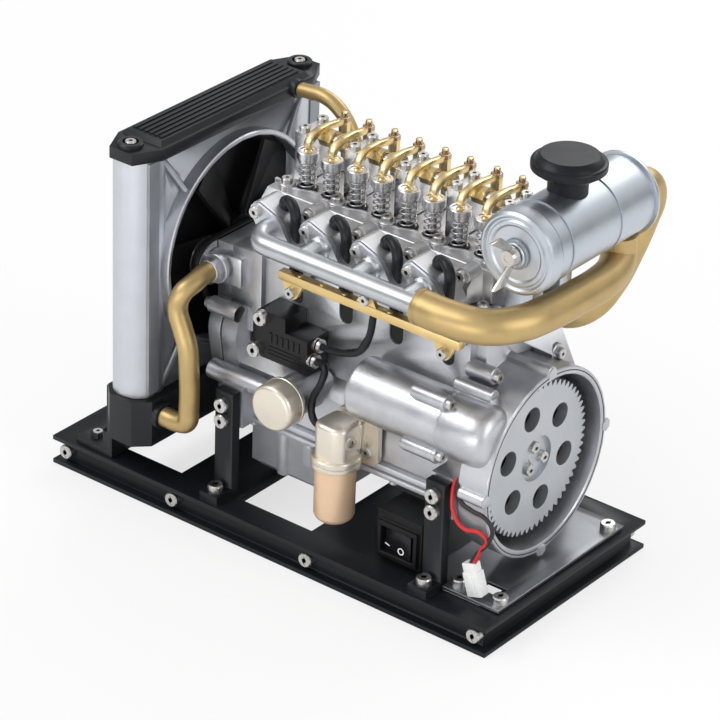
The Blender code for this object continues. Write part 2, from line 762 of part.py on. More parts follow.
def radiator():
    right, left = RAD_RIGHT, RAD_RIGHT - RAD_WIDE
    middle = (left + right) / 2
    tank_top = RAD_BASE + BOTTOM_TANK_TALL
    column_low, column_high = tank_top + GAP, tank_top + GAP + COLUMN_TALL
    end = COLUMN_WIDE / 2
    core = [box((middle - CORE_BACK, middle + CORE_WIDE / 2), about(0, RAD_HALF - end),
                (column_low + GAP, column_high - GAP))]
    for side in (-1, 1):
        centre = side * (RAD_HALF - end)
        arc = [math.pi * k / 8 for k in range(9)]
        outline = [(middle + end * math.cos(t), centre + side * end * math.sin(t)) for t in arc]
        inner = centre - side * SINK
        outline += [(middle - end, inner), (middle + end, inner)]
        core.append(prism(outline, "Z", (column_low, column_high)))
    satin = finish("satin_aluminium", (0.75, 0.76, 0.78), 0.35, 1.0)
    core = make("radiator_core", satin, core)

    corner = RAD_WIDE / 2
    ends = [(middle + side * corner, y) for side in (-1, 1) for y in (-RAD_HALF + corner / 2,
                                                                      RAD_HALF - corner / 2)]
    ends += [(middle + side * corner / 2, y) for side in (-1, 1) for y in (-RAD_HALF, RAD_HALF)]
    tank = [prism(hull(ends), "Z", (RAD_BASE, tank_top))]
    plate = (left - BRACKET_THICK + SINK, left + SINK)
    ground = RAIL_TALL + GAP
    tank.append(box(plate, about(-RAD_SHIFT, BRACKET_HALF), (ground, tank_top - 2 * SINK)))
    for side in (-1, 1):
        y = side * FOOT_Y - RAD_SHIFT
        tank.append(box((plate[0] - BRACKET_FOOT, plate[1] - SINK), about(y, FOOT_HALF),
                        (ground, ground + BRACKET_THICK)))
        tank.append(screw((FOOT_SCREW_X, y, ground + BRACKET_THICK), (0, 0, 1), True))
    tank.append(port(LOWER_PORT, PORT_RADIUS))
    pieces = [core, make("radiator_bottom_tank", black(), tank)]

    low = column_high + GAP
    lug = TANK_LUG
    outline = [(middle - corner, -RAD_HALF + lug), (middle - corner, RAD_HALF - lug),
               (middle - corner / 2, RAD_HALF), (middle + corner / 2, RAD_HALF), (middle + corner,
                                                                                  RAD_HALF - lug),
               (middle + corner, -RAD_HALF + lug), (middle + corner / 2, -RAD_HALF), (middle - corner / 2,
                                                                                      -RAD_HALF)]
    tank = [prism(outline, "Z", (low, low + TOP_TANK_TALL))]
    crown = low + TOP_TANK_TALL
    raised = RAD_HALF - lug
    slope = TANK_RAISE
    base_loop = [(middle - corner + SINK, -raised), (middle + corner - SINK, raised)]
    tank.append(taper(base_loop, slope, crown - SINK, crown + TANK_RAISE))
    for k in range(TANK_RIB_COUNT):
        x = middle + (k - (TANK_RIB_COUNT - 1) / 2) * TANK_RIB_PITCH
        tank.append(box(about(x, TANK_RIB_WIDE / 2), about(0, raised - 2 * slope),
                        (crown, crown + TANK_RAISE + TANK_RIB_TALL)))
    for side in (-1, 1):
        tank.append(screw((middle, side * (RAD_HALF - lug / 2), crown), (0, 0, 1), True))
    tank.append(port(UPPER_PORT, UPPER_PORT_RADIUS))
    pieces.append(make("radiator_top_tank", black(), tank))
    for piece in pieces:
        piece.location.y = RAD_SHIFT


def port(end, radius):
    """A short round stub out of a tank's right side, set for the radiator's own shift."""
    y = end[1] - RAD_SHIFT
    return rod((RAD_RIGHT - SINK, y, end[2]), (end[0], y, end[2]), radius, 12)


def taper(corners, inset, low, high):
    """A block on a rectangle whose top is smaller by inset on every side."""
    (x0, y0), (x1, y1) = corners
    made = bmesh.new()
    rings = []
    for level, step in ((low, 0), (high, inset)):
        ring = [(x0 + step, y0 + step), (x1 - step, y0 + step), (x1 - step, y1 - step), (x0 + step,
                                                                                         y1 - step)]
        rings.append([made.verts.new((x, y, level)) for x, y in ring])
    close_rings(made, rings)
    return made


def shroud_and_fan():
    middle = RAD_RIGHT - RAD_WIDE / 2
    back = middle + CORE_WIDE / 2 + GAP
    low = RAD_BASE + BOTTOM_TANK_TALL + GAP
    edge = RAD_HALF + RAD_SHIFT - COLUMN_WIDE / 2 - SINK - GAP
    front = back + SHROUD_THICK
    plate = box((back, front), about(0, edge), (low, low + COLUMN_TALL))
    collar = rod((back + SINK / 2, 0, FAN_Z), (front + COLLAR_LONG, 0, FAN_Z),
                 COLLAR_RADIUS + COLLAR_WALL, 28)
    ribs = []
    for y_side in (-1, 1):
        for z_side in (-1, 1):
            start = (front, y_side * (edge - 3 * SINK), low + COLUMN_TALL / 2 + z_side * (COLUMN_TALL / 2 - 2 * SINK))
            reach = COLLAR_RADIUS / math.sqrt(2)
            stop = (front + COLLAR_LONG / 2, y_side * reach, FAN_Z + z_side * reach)
            ribs.append(rod(start, stop, RIB_RADIUS, 6))
    hole = rod((back - OVERRUN, 0, FAN_Z), (front + COLLAR_LONG + OVERRUN, 0, FAN_Z), COLLAR_RADIUS, 28)
    grey = finish("grey_shroud", (0.42, 0.43, 0.46), 0.45, 0.8)
    make("fan_shroud", grey, [plate, collar] + ribs, [hole])

    start = back + FAN_TIP_GAP / 2
    hub = lathe([(0, HUB_RADIUS * 0.8), (FAN_THICK, HUB_RADIUS), (HUB_LONG, HUB_RADIUS)],
                (start, 0, FAN_Z), (1, 0, 0), 14)
    shapes = [hub]
    reach = COLLAR_RADIUS - FAN_TIP_GAP
    for k in range(FAN_BLADES):
        shapes.append(blade(k * 2 * math.pi / FAN_BLADES, start + HUB_LONG / 2, reach))
    shapes.append(rod((start + HUB_LONG - SINK, 0, FAN_Z), (BELT_X, 0, FAN_Z), HUB_RADIUS / 2, 12))
    shapes.append(pulley(0, FAN_Z, PULLEY_RADIUS, 16))
    make("fan", rubber(), shapes, pivot=(start, 0, FAN_Z))


def blade(turn, x, reach):
    """One pitched fan blade, wider at its tip than at the hub."""
    made = bmesh.new()
    rings = []
    for radius, half in ((HUB_RADIUS * 0.8, BLADE_ROOT / 2), (reach, BLADE_TIP / 2)):
        ring = []
        for along, across in ((-1, -1), (1, -1), (1, 1), (-1, 1)):
            ring.append((x + along * FAN_DEPTH / 2 + across * FAN_THICK / 2, radius,
                         along * half - across * FAN_THICK / 2))
        rings.append([made.verts.new(point) for point in ring])
    close_rings(made, rings)
    made.transform(Matrix.Translation((0, 0, FAN_Z)) @ Matrix.Rotation(turn, 4, "X"))
    return made


def pulley(y, z, radius, sides):
    """A grooved wheel centred on the belt's plane."""
    half, run = PULLEY_WIDE / 2, BELT_WIDE / 2 + GAP
    profile = [(-half, radius), (-run, radius), (-run, radius - GROOVE_DEEP),
               (run, radius - GROOVE_DEEP), (run, radius), (half, radius)]
    return lathe(profile, (BELT_X, y, z), (1, 0, 0), sides)


def belt():
    inner, outer = [], []
    for y, z, radius in ((0, FAN_Z, PULLEY_RADIUS), (PUMP_PULLEY_Y, PUMP_PULLEY_Z, PULLEY_RADIUS),
                         (0, CRANK_Z, CRANK_PULLEY_RADIUS)):
        seat = radius - GROOVE_DEEP + GAP
        inner += ring_points((y, z), seat, 20)
        outer += ring_points((y, z), seat + BELT_THICK, 20)
    span = about(BELT_X, BELT_WIDE / 2)
    past = (span[0] - OVERRUN, span[1] + OVERRUN)
    make("fan_belt", rubber(), [prism(hull(outer), "X", span)], [prism(hull(inner), "X", past)])


def pump_pulley():
    wheel = pulley(PUMP_PULLEY_Y, PUMP_PULLEY_Z, PULLEY_RADIUS, 16)
    make("pump_pulley", steel(), [wheel], pivot=(BELT_X, PUMP_PULLEY_Y, PUMP_PULLEY_Z))


def timing_outline(margin):
    points = ring_points((0, CRANK_Z), CRANK_GEAR + COVER_WALL + margin + CRANK_ROOM, 20)
    points += ring_points((CAM_Y, CAM_Z), CAM_GEAR + COVER_WALL + margin, 20)
    return hull(points)


def engine_block():
    case = [(-CASE_HALF + CASE_CHAMFER, CASE_BOTTOM), (CASE_HALF - CASE_CHAMFER, CASE_BOTTOM),
            (CASE_HALF, CASE_BOTTOM + CASE_CHAMFER), (CASE_HALF, CASE_TOP - CASE_CHAMFER),
            (CASE_HALF - CASE_CHAMFER, CASE_TOP), (-CASE_HALF + CASE_CHAMFER, CASE_TOP),
            (-CASE_HALF, CASE_TOP - CASE_CHAMFER), (-CASE_HALF, CASE_BOTTOM + CASE_CHAMFER)]
    long = (BLOCK_LEFT, BELL_FLOOR - SINK)
    shapes = [prism(case, "X", long),
              box((BLOCK_LEFT + SINK, BLOCK_RIGHT), (BLOCK_FRONT, BLOCK_REAR), (CASE_TOP - 2 * SINK,
                                                                                DECK_Z)),
              prism(timing_outline(0), "X", (TIMING_FACE, BLOCK_LEFT + 2 * SINK)),
              box((TIMING_FACE, BLOCK_LEFT + SHOULDER_WIDE), SHOULDER_Y, SHOULDER_Z)]
    bell = lathe([(0, BELL_BACK_RADIUS), (BELL_NECK - BELL_BACK, BELL_NECK_RADIUS),
                  (BELL_WIDE_FROM - BELL_BACK, BELL_RADIUS), (BELL_FACE - BELL_BACK, BELL_RADIUS)],
                 (BELL_BACK, 0, CRANK_Z), (1, 0, 0), 30)
    shapes.append(bell)
    for k in range(BELL_BOSSES):
        y, z = ring_points((0, CRANK_Z), BELL_RADIUS, BELL_BOSSES)[k]
        shapes.append(rod((BELL_FACE - BELL_BOSS_LONG, y, z), (BELL_FACE + SINK / 2, y, z),
                          BELL_BOSS_RADIUS, 6))
    shapes.append(lathe([(0, STARTER_RADIUS - STARTER_STEP), (STARTER_STEP, STARTER_RADIUS),
                         (STARTER_NOSE - STARTER_LEFT - NOSE_ROUND, STARTER_RADIUS),
                         (STARTER_NOSE - STARTER_LEFT - NOSE_ROUND / 3, STARTER_RADIUS * 0.85),
                         (STARTER_NOSE - STARTER_LEFT, STARTER_RADIUS * 0.5)],
                        (STARTER_LEFT, STARTER_Y, STARTER_Z), (1, 0, 0), 18))
    for start, end, y, z in EARS:
        shapes.append(rod((start, y, z), (end, y, z), EAR_RADIUS, 8))
        shapes.append(screw((end, y, z), (1, 0, 0), True))
    for x in LEG_X:
        for side in (-1, 1):
            inner = LEG_OUTER - LEG_THICK - GAP
            reach = sorted((side * (CASE_HALF - 2 * SINK), side * inner))
            shapes.append(box(about(x, PAD_WIDE / 2), reach, (LEG_TOP - PAD_TALL, LEG_TOP + SINK)))
    shapes.append(rod((OIL_X, BLOCK_FRONT - SINK, OIL_Z), (OIL_X, OIL_FACE + OIL_LONG + GAP, OIL_Z),
                      FILTER_BOSS_RADIUS, 14))
    shapes.append(box(LEDGE_SPAN, LEDGE_Y, (CRANK_Z + CASE_HALF, LEDGE_Z)))
    shapes.append(rod((BLOCK_LEFT + CYL_PITCH / 2, GALLERY_Y, GALLERY_Z), (GALLERY_END, GALLERY_Y,
                                                                           GALLERY_Z), GALLERY_RADIUS, 12))

    cuts = [rod((x, 0, CRANK_Z), (x, 0, DECK_Z + OVERRUN), BORE_RADIUS, 12) for x in CYLINDERS]
    inside = (BLOCK_LEFT + CASE_END, BELL_FLOOR - 2 * CASE_END)
    cuts.append(rod((inside[0], 0, CRANK_Z), (inside[1], 0, CRANK_Z), CASE_RADIUS, 14))
    cuts.append(box(inside, about(0, CASE_RADIUS), (CASE_BOTTOM - OVERRUN, CRANK_Z)))
    cuts.append(rod((TIMING_FACE - OVERRUN, 0, CRANK_Z), (BELL_FLOOR + OVERRUN, 0, CRANK_Z),
                    JOURNAL_RADIUS + GAP, 12))
    cuts.append(rod((TIMING_FACE - OVERRUN, CAM_Y, CAM_Z), (BLOCK_RIGHT - CASE_END, CAM_Y, CAM_Z),
                    CAM_TUNNEL, 10))
    cuts.append(rod((BELL_FLOOR, 0, CRANK_Z), (BELL_FACE + OVERRUN, 0, CRANK_Z), BELL_RADIUS - BELL_WALL,
                    30))
    cuts.append(rod((PINION_X - PINION_ROOM, STARTER_Y, STARTER_Z),
                    (PINION_X + PINION_X_LONG + PINION_ROOM, STARTER_Y, STARTER_Z),
                    PINION_TIP + PINION_ROOM, 12))
    cuts.append(rod((PINION_X - PINION_STEM, STARTER_Y, STARTER_Z), (PINION_X, STARTER_Y, STARTER_Z),
                    PINION_SHAFT + GAP, 8))
    for x in CYLINDERS:
        cuts.append(slot(x + SLOT_SHIFT))
    make("engine_block", cast(), shapes, cuts)


def slot(x):
    """A round-ended recess in the front wall for an injector lead."""
    half = SLOT_WIDE / 2
    arcs = []
    for base, level in ((math.pi, SLOT_LOW + half), (0, SLOT_LOW + SLOT_LONG - half)):
        arcs += [(x + half * math.cos(base + math.pi * k / 6),
                  level + half * math.sin(base + math.pi * k / 6))
                 for k in range(7)]
    return prism(arcs, "Y", (BLOCK_FRONT - OVERRUN, BLOCK_FRONT + SLOT_DEEP))


def front_cover():
    """The timing cover with the water pump body, its inlet stub and its bolts."""
    span = (COVER_FACE, COVER_BACK)
    shapes = [prism(timing_outline(-TIMING_MARGIN), "X", span),
              box(span, PUMP_BODY_Y, PUMP_BODY_Z),
              rod((COVER_FACE, PUMP_PULLEY_Y, PUMP_PULLEY_Z), (COVER_BACK, PUMP_PULLEY_Y, PUMP_PULLEY_Z),
                  PULLEY_RADIUS * 0.7, 16),
              rod((PUMP_INLET[0], PUMP_BODY_Y[0] + 2 * SINK, PUMP_INLET[2]), PUMP_INLET, INLET_RADIUS,
                  12)]
    shapes += [screw((COVER_FACE, y, z), (-1, 0, 0)) for y, z in COVER_BOLTS]
    inner = (COVER_FACE + COVER_WALL, COVER_BACK + OVERRUN)
    cuts = [rod((COVER_FACE - OVERRUN, 0, CRANK_Z), (COVER_BACK, 0, CRANK_Z), JOURNAL_RADIUS + GAP, 12),
            prism(hull(ring_points((0, CRANK_Z), CRANK_GEAR + GEAR_ROOM, 16)), "X", inner),
            prism(hull(ring_points((CAM_Y, CAM_Z), CAM_GEAR + GEAR_ROOM, 20)), "X", inner)]
    make("front_cover", cast(), shapes, cuts)


def crank_and_cam():
    gear = (COVER_FACE + COVER_WALL + GAP, COVER_BACK - GAP)
    shapes = [rod((BELT_X, 0, CRANK_Z), (inner_wall(), 0, CRANK_Z), JOURNAL_RADIUS, 10)]
    shapes.append(pulley(0, CRANK_Z, CRANK_PULLEY_RADIUS, 16))
    shapes.append(prism(star((0, CRANK_Z), CRANK_GEAR, GEAR_TOOTH, 12), "X", gear))
    throws = (1, -1, -1, 1)
    last = CYLINDERS[-1] + PIN_LONG / 2 + WEB_THICK
    for k, (x, throw) in enumerate(zip(CYLINDERS, throws)):
        pin_z = CRANK_Z + throw * CRANK_THROW
        half = PIN_LONG / 2
        shapes.append(rod((x - half - SINK, 0, pin_z), (x + half + SINK, 0, pin_z), PIN_RADIUS, 8))
        for side in (-1, 1):
            web = hull(ring_points((0, CRANK_Z), WEB_RADIUS, 6) + ring_points((0, pin_z), WEB_RADIUS, 6))
            edge = x + side * half
            shapes.append(prism(web, "X", sorted((edge, edge + side * WEB_THICK))))
        if k + 1 < CYL_COUNT:
            gap_end = CYLINDERS[k + 1] - half - WEB_THICK
            shapes.append(rod((x + half + WEB_THICK - SINK, 0, CRANK_Z), (gap_end + SINK, 0, CRANK_Z),
                              JOURNAL_RADIUS, 10))
    shapes.append(rod((last - SINK, 0, CRANK_Z), (FLY_FACE - FLY_THICK - GAP, 0, CRANK_Z), JOURNAL_RADIUS,
                      10))
    shapes.append(rod((FLY_FACE - FLY_THICK - GAP - WEB_THICK, 0, CRANK_Z), (FLY_FACE - FLY_THICK - GAP,
                                                                             0, CRANK_Z), CRANK_FLANGE, 14))
    make("crankshaft", steel(), shapes, pivot=(BELT_X, 0, CRANK_Z))

    shapes = [rod((gear[0], CAM_Y, CAM_Z), (BLOCK_RIGHT - CASE_END - GAP, CAM_Y, CAM_Z), CAM_RADIUS, 8),
              prism(star((CAM_Y, CAM_Z), CAM_GEAR, GEAR_TOOTH, 24), "X", gear)]
    for k, x in enumerate(VALVES):
        turn = math.pi / 2 * k
        lobe = (CAM_Y + LOBE_LIFT * math.cos(turn), CAM_Z + LOBE_LIFT * math.sin(turn))
        shapes.append(prism(ring_points(lobe, LOBE_RADIUS, 6), "X", about(x, LOBE_LONG / 2)))
    make("camshaft", steel(), shapes, pivot=(gear[0], CAM_Y, CAM_Z))


def inner_wall():
    return CYLINDERS[0] - PIN_LONG / 2 - WEB_THICK + SINK


def flywheel():
    back = FLY_FACE - FLY_THICK
    disc = prism(star((0, CRANK_Z), FLY_TIP, TOOTH_DEEP, TOOTH_COUNT), "X", (back, FLY_FACE))
    cuts = [rod((FLY_FACE - FLY_RECESS_DEEP, 0, CRANK_Z), (FLY_FACE + OVERRUN, 0, CRANK_Z), FLY_RECESS,
                16)]
    for y, z in ring_points((0, CRANK_Z), FLY_HOLE_CIRCLE, FLY_HOLES, FLY_PHASE):
        cuts.append(rod((back - OVERRUN, y, z), (FLY_FACE + OVERRUN, y, z), FLY_HOLE_RADIUS, 12))
    heads = [screw((FLY_FACE - FLY_RECESS_DEEP, y, z), (1, 0, 0))
             for y, z in ring_points((0, CRANK_Z), FLY_SCREW_CIRCLE, 3, FLY_PHASE)]
    grey = finish("grey_flywheel", (0.60, 0.63, 0.66), 0.42, 0.9)
    make("flywheel", grey, [disc], cuts, (FLY_FACE, 0, CRANK_Z), heads)


def pinion():
    wheel = prism(star((STARTER_Y, STARTER_Z), PINION_TIP, TOOTH_DEEP * 0.7, PINION_TEETH), "X",
                  (PINION_X, PINION_X + PINION_X_LONG))
    stem = rod((PINION_X - PINION_STEM + GAP, STARTER_Y, STARTER_Z), (PINION_X + SINK, STARTER_Y,
                                                                      STARTER_Z), PINION_SHAFT, 10)
    make("motor_pinion", steel(), [wheel, stem], pivot=(PINION_X, STARTER_Y, STARTER_Z))


def oil_pan():
    top = CASE_BOTTOM - GAP
    shapes = [box((PAN_LEFT, BLOCK_RIGHT - SHOULDER_WIDE / 2), about(0, PAN_HALF), (top - PAN_TOP_THICK,
                                                                                    top)),
              box(SUMP_SPAN, about(0, SUMP_HALF), (SUMP_BOTTOM + PAN_CORNER, top - PAN_TOP_THICK + SINK))]
    foot = taper([(SUMP_SPAN[0], -SUMP_HALF), (SUMP_SPAN[1], SUMP_HALF)], PAN_CORNER,
                 SUMP_BOTTOM + PAN_CORNER + SINK / 4, SUMP_BOTTOM)
    shapes.append(foot)
    inner = PAN_WALL
    cuts = [box((SUMP_SPAN[0] + inner, SUMP_SPAN[1] - inner), about(0, SUMP_HALF - inner),
                (SUMP_BOTTOM + PAN_CORNER, top + OVERRUN))]
    make("oil_pan", cast(), shapes, cuts)


def cylinder_head():
    outline = [(HEAD_FRONT, HEAD_BASE), (HEAD_REAR, HEAD_BASE), (HEAD_REAR, HEAD_DECK),
               (HEAD_DECK_FRONT, HEAD_DECK), (HEAD_FRONT, HEAD_BASE + HEAD_SHOULDER)]
    shapes = [prism(outline, "X", (HEAD_LEFT, HEAD_RIGHT))]
    port = [(PORT_FACE, HEAD_BASE + PORT_LOW), (HEAD_DECK_FRONT + SINK, HEAD_BASE + PORT_LOW),
            (HEAD_DECK_FRONT + SINK, HEAD_DECK - SINK), (INJECTOR_SEAT, PORT_Z + STEM_WIDE),
            (PORT_FACE, PORT_Z + STEM_WIDE)]
    shapes += [prism(port, "X", about(x, PORT_HALF)) for x in CYLINDERS]
    for x in PEDESTALS:
        boss = (HEAD_DECK - SINK, HEAD_DECK + HEAD_BOSS_TALL)
        shapes.append(box(about(x, HEAD_BOSS), about(HEAD_SCREW_Y, HEAD_BOSS), boss))
        shapes.append(screw((x, HEAD_SCREW_Y, boss[1]), (0, 0, 1), True))
    x, y, z = OUTLET
    shapes.append(box(about(x, OUTLET_PAD), (HEAD_REAR - SINK, y + OUTLET_PAD),
                      (HEAD_BASE + OUTLET_LOW / 2, HEAD_BASE + OUTLET_LOW + OUTLET_LOW / 2)))
    shapes.append(rod((x, y, HEAD_BASE + OUTLET_LOW), (x, y, z), OUTLET_RADIUS, 12))
    cuts = [box(about(x, CHAMBER_HALF_X), CHAMBER_Y, (HEAD_BASE - OVERRUN, HEAD_BASE + CHAMBER_TALL))
            for x in CYLINDERS]
    for x in VALVES:
        cuts.append(rod((x, VALVE_Y, HEAD_BASE), (x, VALVE_Y, HEAD_DECK + OVERRUN), GUIDE_RADIUS, 8))
        cuts.append(rod((x, ADJUSTER_Y, HEAD_BASE - OVERRUN), (x, ADJUSTER_Y, HEAD_DECK + OVERRUN),
                        PUSHROD_HOLE, 6))
    make("cylinder_head", cast(), shapes, cuts)


def pistons():
    for k, x in enumerate(CYLINDERS):
        top = PISTON_TOP - (STROKE if k in (1, 2) else 0)
        radius = BORE_RADIUS - PISTON_FIT
        crown = rod((x, 0, top - PISTON_TALL), (x, 0, top), radius, 14)
        hollow = rod((x, 0, top - PISTON_TALL - OVERRUN), (x, 0, top - PISTON_TALL / 3), radius * 0.75,
                     10)
        make("piston_" + str(k + 1), finish("piston_alloy", (0.55, 0.55, 0.56), 0.35, 1.0), [crown],
             [hollow], (x, 0, top))


def rocker_shaft():
    """The shaft on its five pedestals, with two cap screws in each."""
    shapes = [rod((PEDESTALS[0] - PEDESTAL_WIDE * 0.8, SHAFT_Y, SHAFT_Z),
                  (PEDESTALS[-1] + PEDESTAL_WIDE * 0.8, SHAFT_Y, SHAFT_Z), SHAFT_RADIUS, 10)]
    for x in PEDESTALS:
        shapes.append(box(about(x, PEDESTAL_WIDE / 2), PEDESTAL_SPAN, (HEAD_DECK + GAP, PEDESTAL_TOP)))
        for y in (PEDESTAL_SPAN[0] + SMALL_HEAD * 1.2, PEDESTAL_SPAN[1] - SMALL_HEAD * 1.2):
            shapes.append(screw((x, y, PEDESTAL_TOP), (0, 0, 1), True))
    make("rocker_shaft", steel(), shapes)


def valve_gear():
    for k, x in enumerate(VALVES):
        number = str(k + 1)
        inward = 1 if k % 2 == 0 else -1
        rocker(number, x, inward)
        valve(number, x)
        spring(number, x)


def rocker(number, x, inward):
    """A brass arm arched over the shaft, with its hub, adjuster screw and lock nut."""
    tip = RETAINER_TOP + GAP
    rise = SHAFT_Z + ROCKER_ARCH - tip - ROCKER_DEPTH / 2
    shares = ((-0.02, 0), (0.015, 0.42), (0.12, 0.80), (0.30, 1.0), (0.55, 0.98), (0.80, 0.82),
              (1.0, 0.72))
    span = ADJUSTER_Y - VALVE_Y
    line = [(0, VALVE_Y + a * span, tip + ROCKER_DEPTH * 0.3 + b * rise) for a, b in shares]
    line = flowing(line, 1)
    upper, lower = [], []
    for before, point, after in zip([line[0]] + line, line, line[1:] + [line[-1]]):
        heading = (after - before).normalized()
        normal = Vector((0, -heading.z, heading.y)) * ROCKER_DEPTH / 2
        upper.append(point + normal)
        lower.append(point - normal)
    outline = [(p.y, max(p.z, tip)) for p in upper + lower[::-1]]
    side = x + inward * (ROCKER_HUB_LONG - ROCKER_THICK / 2)
    shapes = [prism(outline, "X", about(x, ROCKER_THICK / 2)),
              rod((x - inward * ROCKER_THICK / 2 * 1.1, SHAFT_Y, SHAFT_Z), (side, SHAFT_Y, SHAFT_Z),
                  SHAFT_RADIUS + HUB_WALL, 8),
              rod((x, ADJUSTER_Y, SHAFT_Z - BOSS_RADIUS), (x, ADJUSTER_Y, SHAFT_Z + ROCKER_ARCH * 0.6),
                  BOSS_RADIUS, 6),
              rod((x, ADJUSTER_Y, SHAFT_Z - 2 * BOSS_RADIUS), (x, ADJUSTER_Y, ADJUSTER_TOP),
                  ADJUSTER_RADIUS, 6),
              rod((x, ADJUSTER_Y, SHAFT_Z + ROCKER_ARCH * 0.6 - SINK / 2),
                  (x, ADJUSTER_Y, SHAFT_Z + ROCKER_ARCH * 0.6 + NUT_TALL), NUT_RADIUS, 6)]
    bore = rod((x - ROCKER_HUB_LONG * 2, SHAFT_Y, SHAFT_Z), (x + ROCKER_HUB_LONG * 2, SHAFT_Y, SHAFT_Z),
               SHAFT_RADIUS + GAP, 8)
    make("rocker_" + number, brass(), shapes, [bore], (x, SHAFT_Y, SHAFT_Z))


def valve(number, x):
    """The stem with its disc at the foot and its retainer at the top."""
    low = HEAD_BASE + CHAMBER_TALL - VALVE_DISC_TALL * 2
    under = RETAINER_TOP - RETAINER_TALL
    profile = [(low, VALVE_DISC), (low + VALVE_DISC_TALL, VALVE_DISC), (low + VALVE_DISC_TALL * 1.5,
                                                                        STEM_RADIUS),
               (under, STEM_RADIUS), (under, RETAINER_RADIUS * 0.85), (under + RETAINER_TALL / 3,
                                                                       RETAINER_RADIUS),
               (RETAINER_TOP - GAP, RETAINER_RADIUS), (RETAINER_TOP, RETAINER_RADIUS * 0.9)]
    make("valve_" + number, steel(), [lathe(profile, (x, VALVE_Y, 0), (0, 0, 1), 7)], pivot=(x, VALVE_Y,
                                                                                             RETAINER_TOP))


def spring_route(x):
    """Points of a coil that stands upright on the head deck under a retainer."""
    low, high = HEAD_DECK + GAP, RETAINER_TOP - RETAINER_TALL - GAP
    first, last = low + SPRING_WIRE * 1.2, high - SPRING_WIRE * 1.2
    count = round(SPRING_CURLS * SPRING_STEPS)
    route = [Vector((x + SPRING_RADIUS, VALVE_Y, low))]
    for k in range(count + 1):
        turn = 2 * math.pi * k / SPRING_STEPS
        level = first + (last - first) * k / count
        route.append(Vector((x + SPRING_RADIUS * math.cos(turn), VALVE_Y + SPRING_RADIUS * math.sin(turn),
                             level)))
    route.append(Vector((route[-1].x, route[-1].y, high)))
    return route


def spring(number, x):
    """A wire coil, drawn as one open curve with a round section."""
    curve = bpy.data.curves.new("valve_spring_" + number, "CURVE")
    curve.dimensions = "3D"
    curve.bevel_depth = SPRING_WIRE / 2
    curve.bevel_resolution = 1
    curve.render_resolution_u = 0
    curve.use_fill_caps = True
    line = curve.splines.new("POLY")
    route = spring_route(0)
    line.points.add(len(route) - 1)
    for point, place in zip(line.points, route):
        point.co = (place.x, place.y - VALVE_Y, place.z - HEAD_DECK, 1)
    made = bpy.data.objects.new("valve_spring_" + number, curve)
    made.location = (x, VALVE_Y, HEAD_DECK)
    curve.materials.append(steel())
    bpy.context.scene.collection.objects.link(made)


def spring_clearance():
    """Least gap between neighbouring turns of one spring, measured on its points."""
    route = spring_route(0)
    least = min((a - b).length for i, a in enumerate(route) for b in route[i + SPRING_STEPS - 2:])
    print("spring least self gap mm", round((least - SPRING_WIRE) * 1000, 2))


def intake_manifold():
    """The log pipe with four runners, each ending in a two-bolt flange on the head."""
    first = CYLINDERS[0]
    face = PORT_FACE - GAP
    elbow = [(LOG_END, LOG_Y, LOG_Z), (first + ELBOW_RADIUS * 2, LOG_Y, LOG_Z)]
    for k in range(5):
        turn = math.pi / 2 * k / 4
        elbow.append((first + ELBOW_RADIUS * (1 - math.sin(turn)),
                      LOG_Y + ELBOW_RADIUS * (1 - math.cos(turn)), LOG_Z))
    elbow.append((first, face - SINK, PORT_Z))
    shapes = [tube(elbow, LOG_RADIUS, 12)]
    for x in CYLINDERS:
        if x != first:
            shapes.append(rod((x, LOG_Y, LOG_Z), (x, face - SINK, PORT_Z), RUNNER_RADIUS, 10))
        ears = [(x + side * FLANGE_HALF * math.cos(FLANGE_TILT),
                 PORT_Z + side * FLANGE_HALF * math.sin(FLANGE_TILT))
                for side in (-1, 1)]
        outline = ring_points((x, PORT_Z), FLANGE_RADIUS, 10)
        for ear in ears:
            outline += ring_points(ear, FLANGE_EAR, 6)
            shapes.append(rod((ear[0], face - FLANGE_THICK + SINK, ear[1]),
                              (ear[0], face - FLANGE_THICK - SMALL_TALL * 0.7, ear[1]),
                              SMALL_HEAD, SCREW_SIDES))
        shapes.append(prism(hull(outline), "Y", (face - FLANGE_THICK, face)))
    make("intake_manifold", steel(), shapes)


def pipes():
    make("intake_pipe", brass(), [tube(flowing(INTAKE_ROUTE, 2), PIPE_RADIUS, 10)])
    make("air_pipe", brass(), [tube(flowing(REAR_ROUTE, 2), PIPE_RADIUS, 10)])
    make("upper_hose", brass(), [tube(flowing(UPPER_ROUTE, 2), UPPER_HOSE, 8)])
    make("lower_hose", brass(), [tube(flowing(LOWER_ROUTE, 2), LOWER_HOSE, 8)])


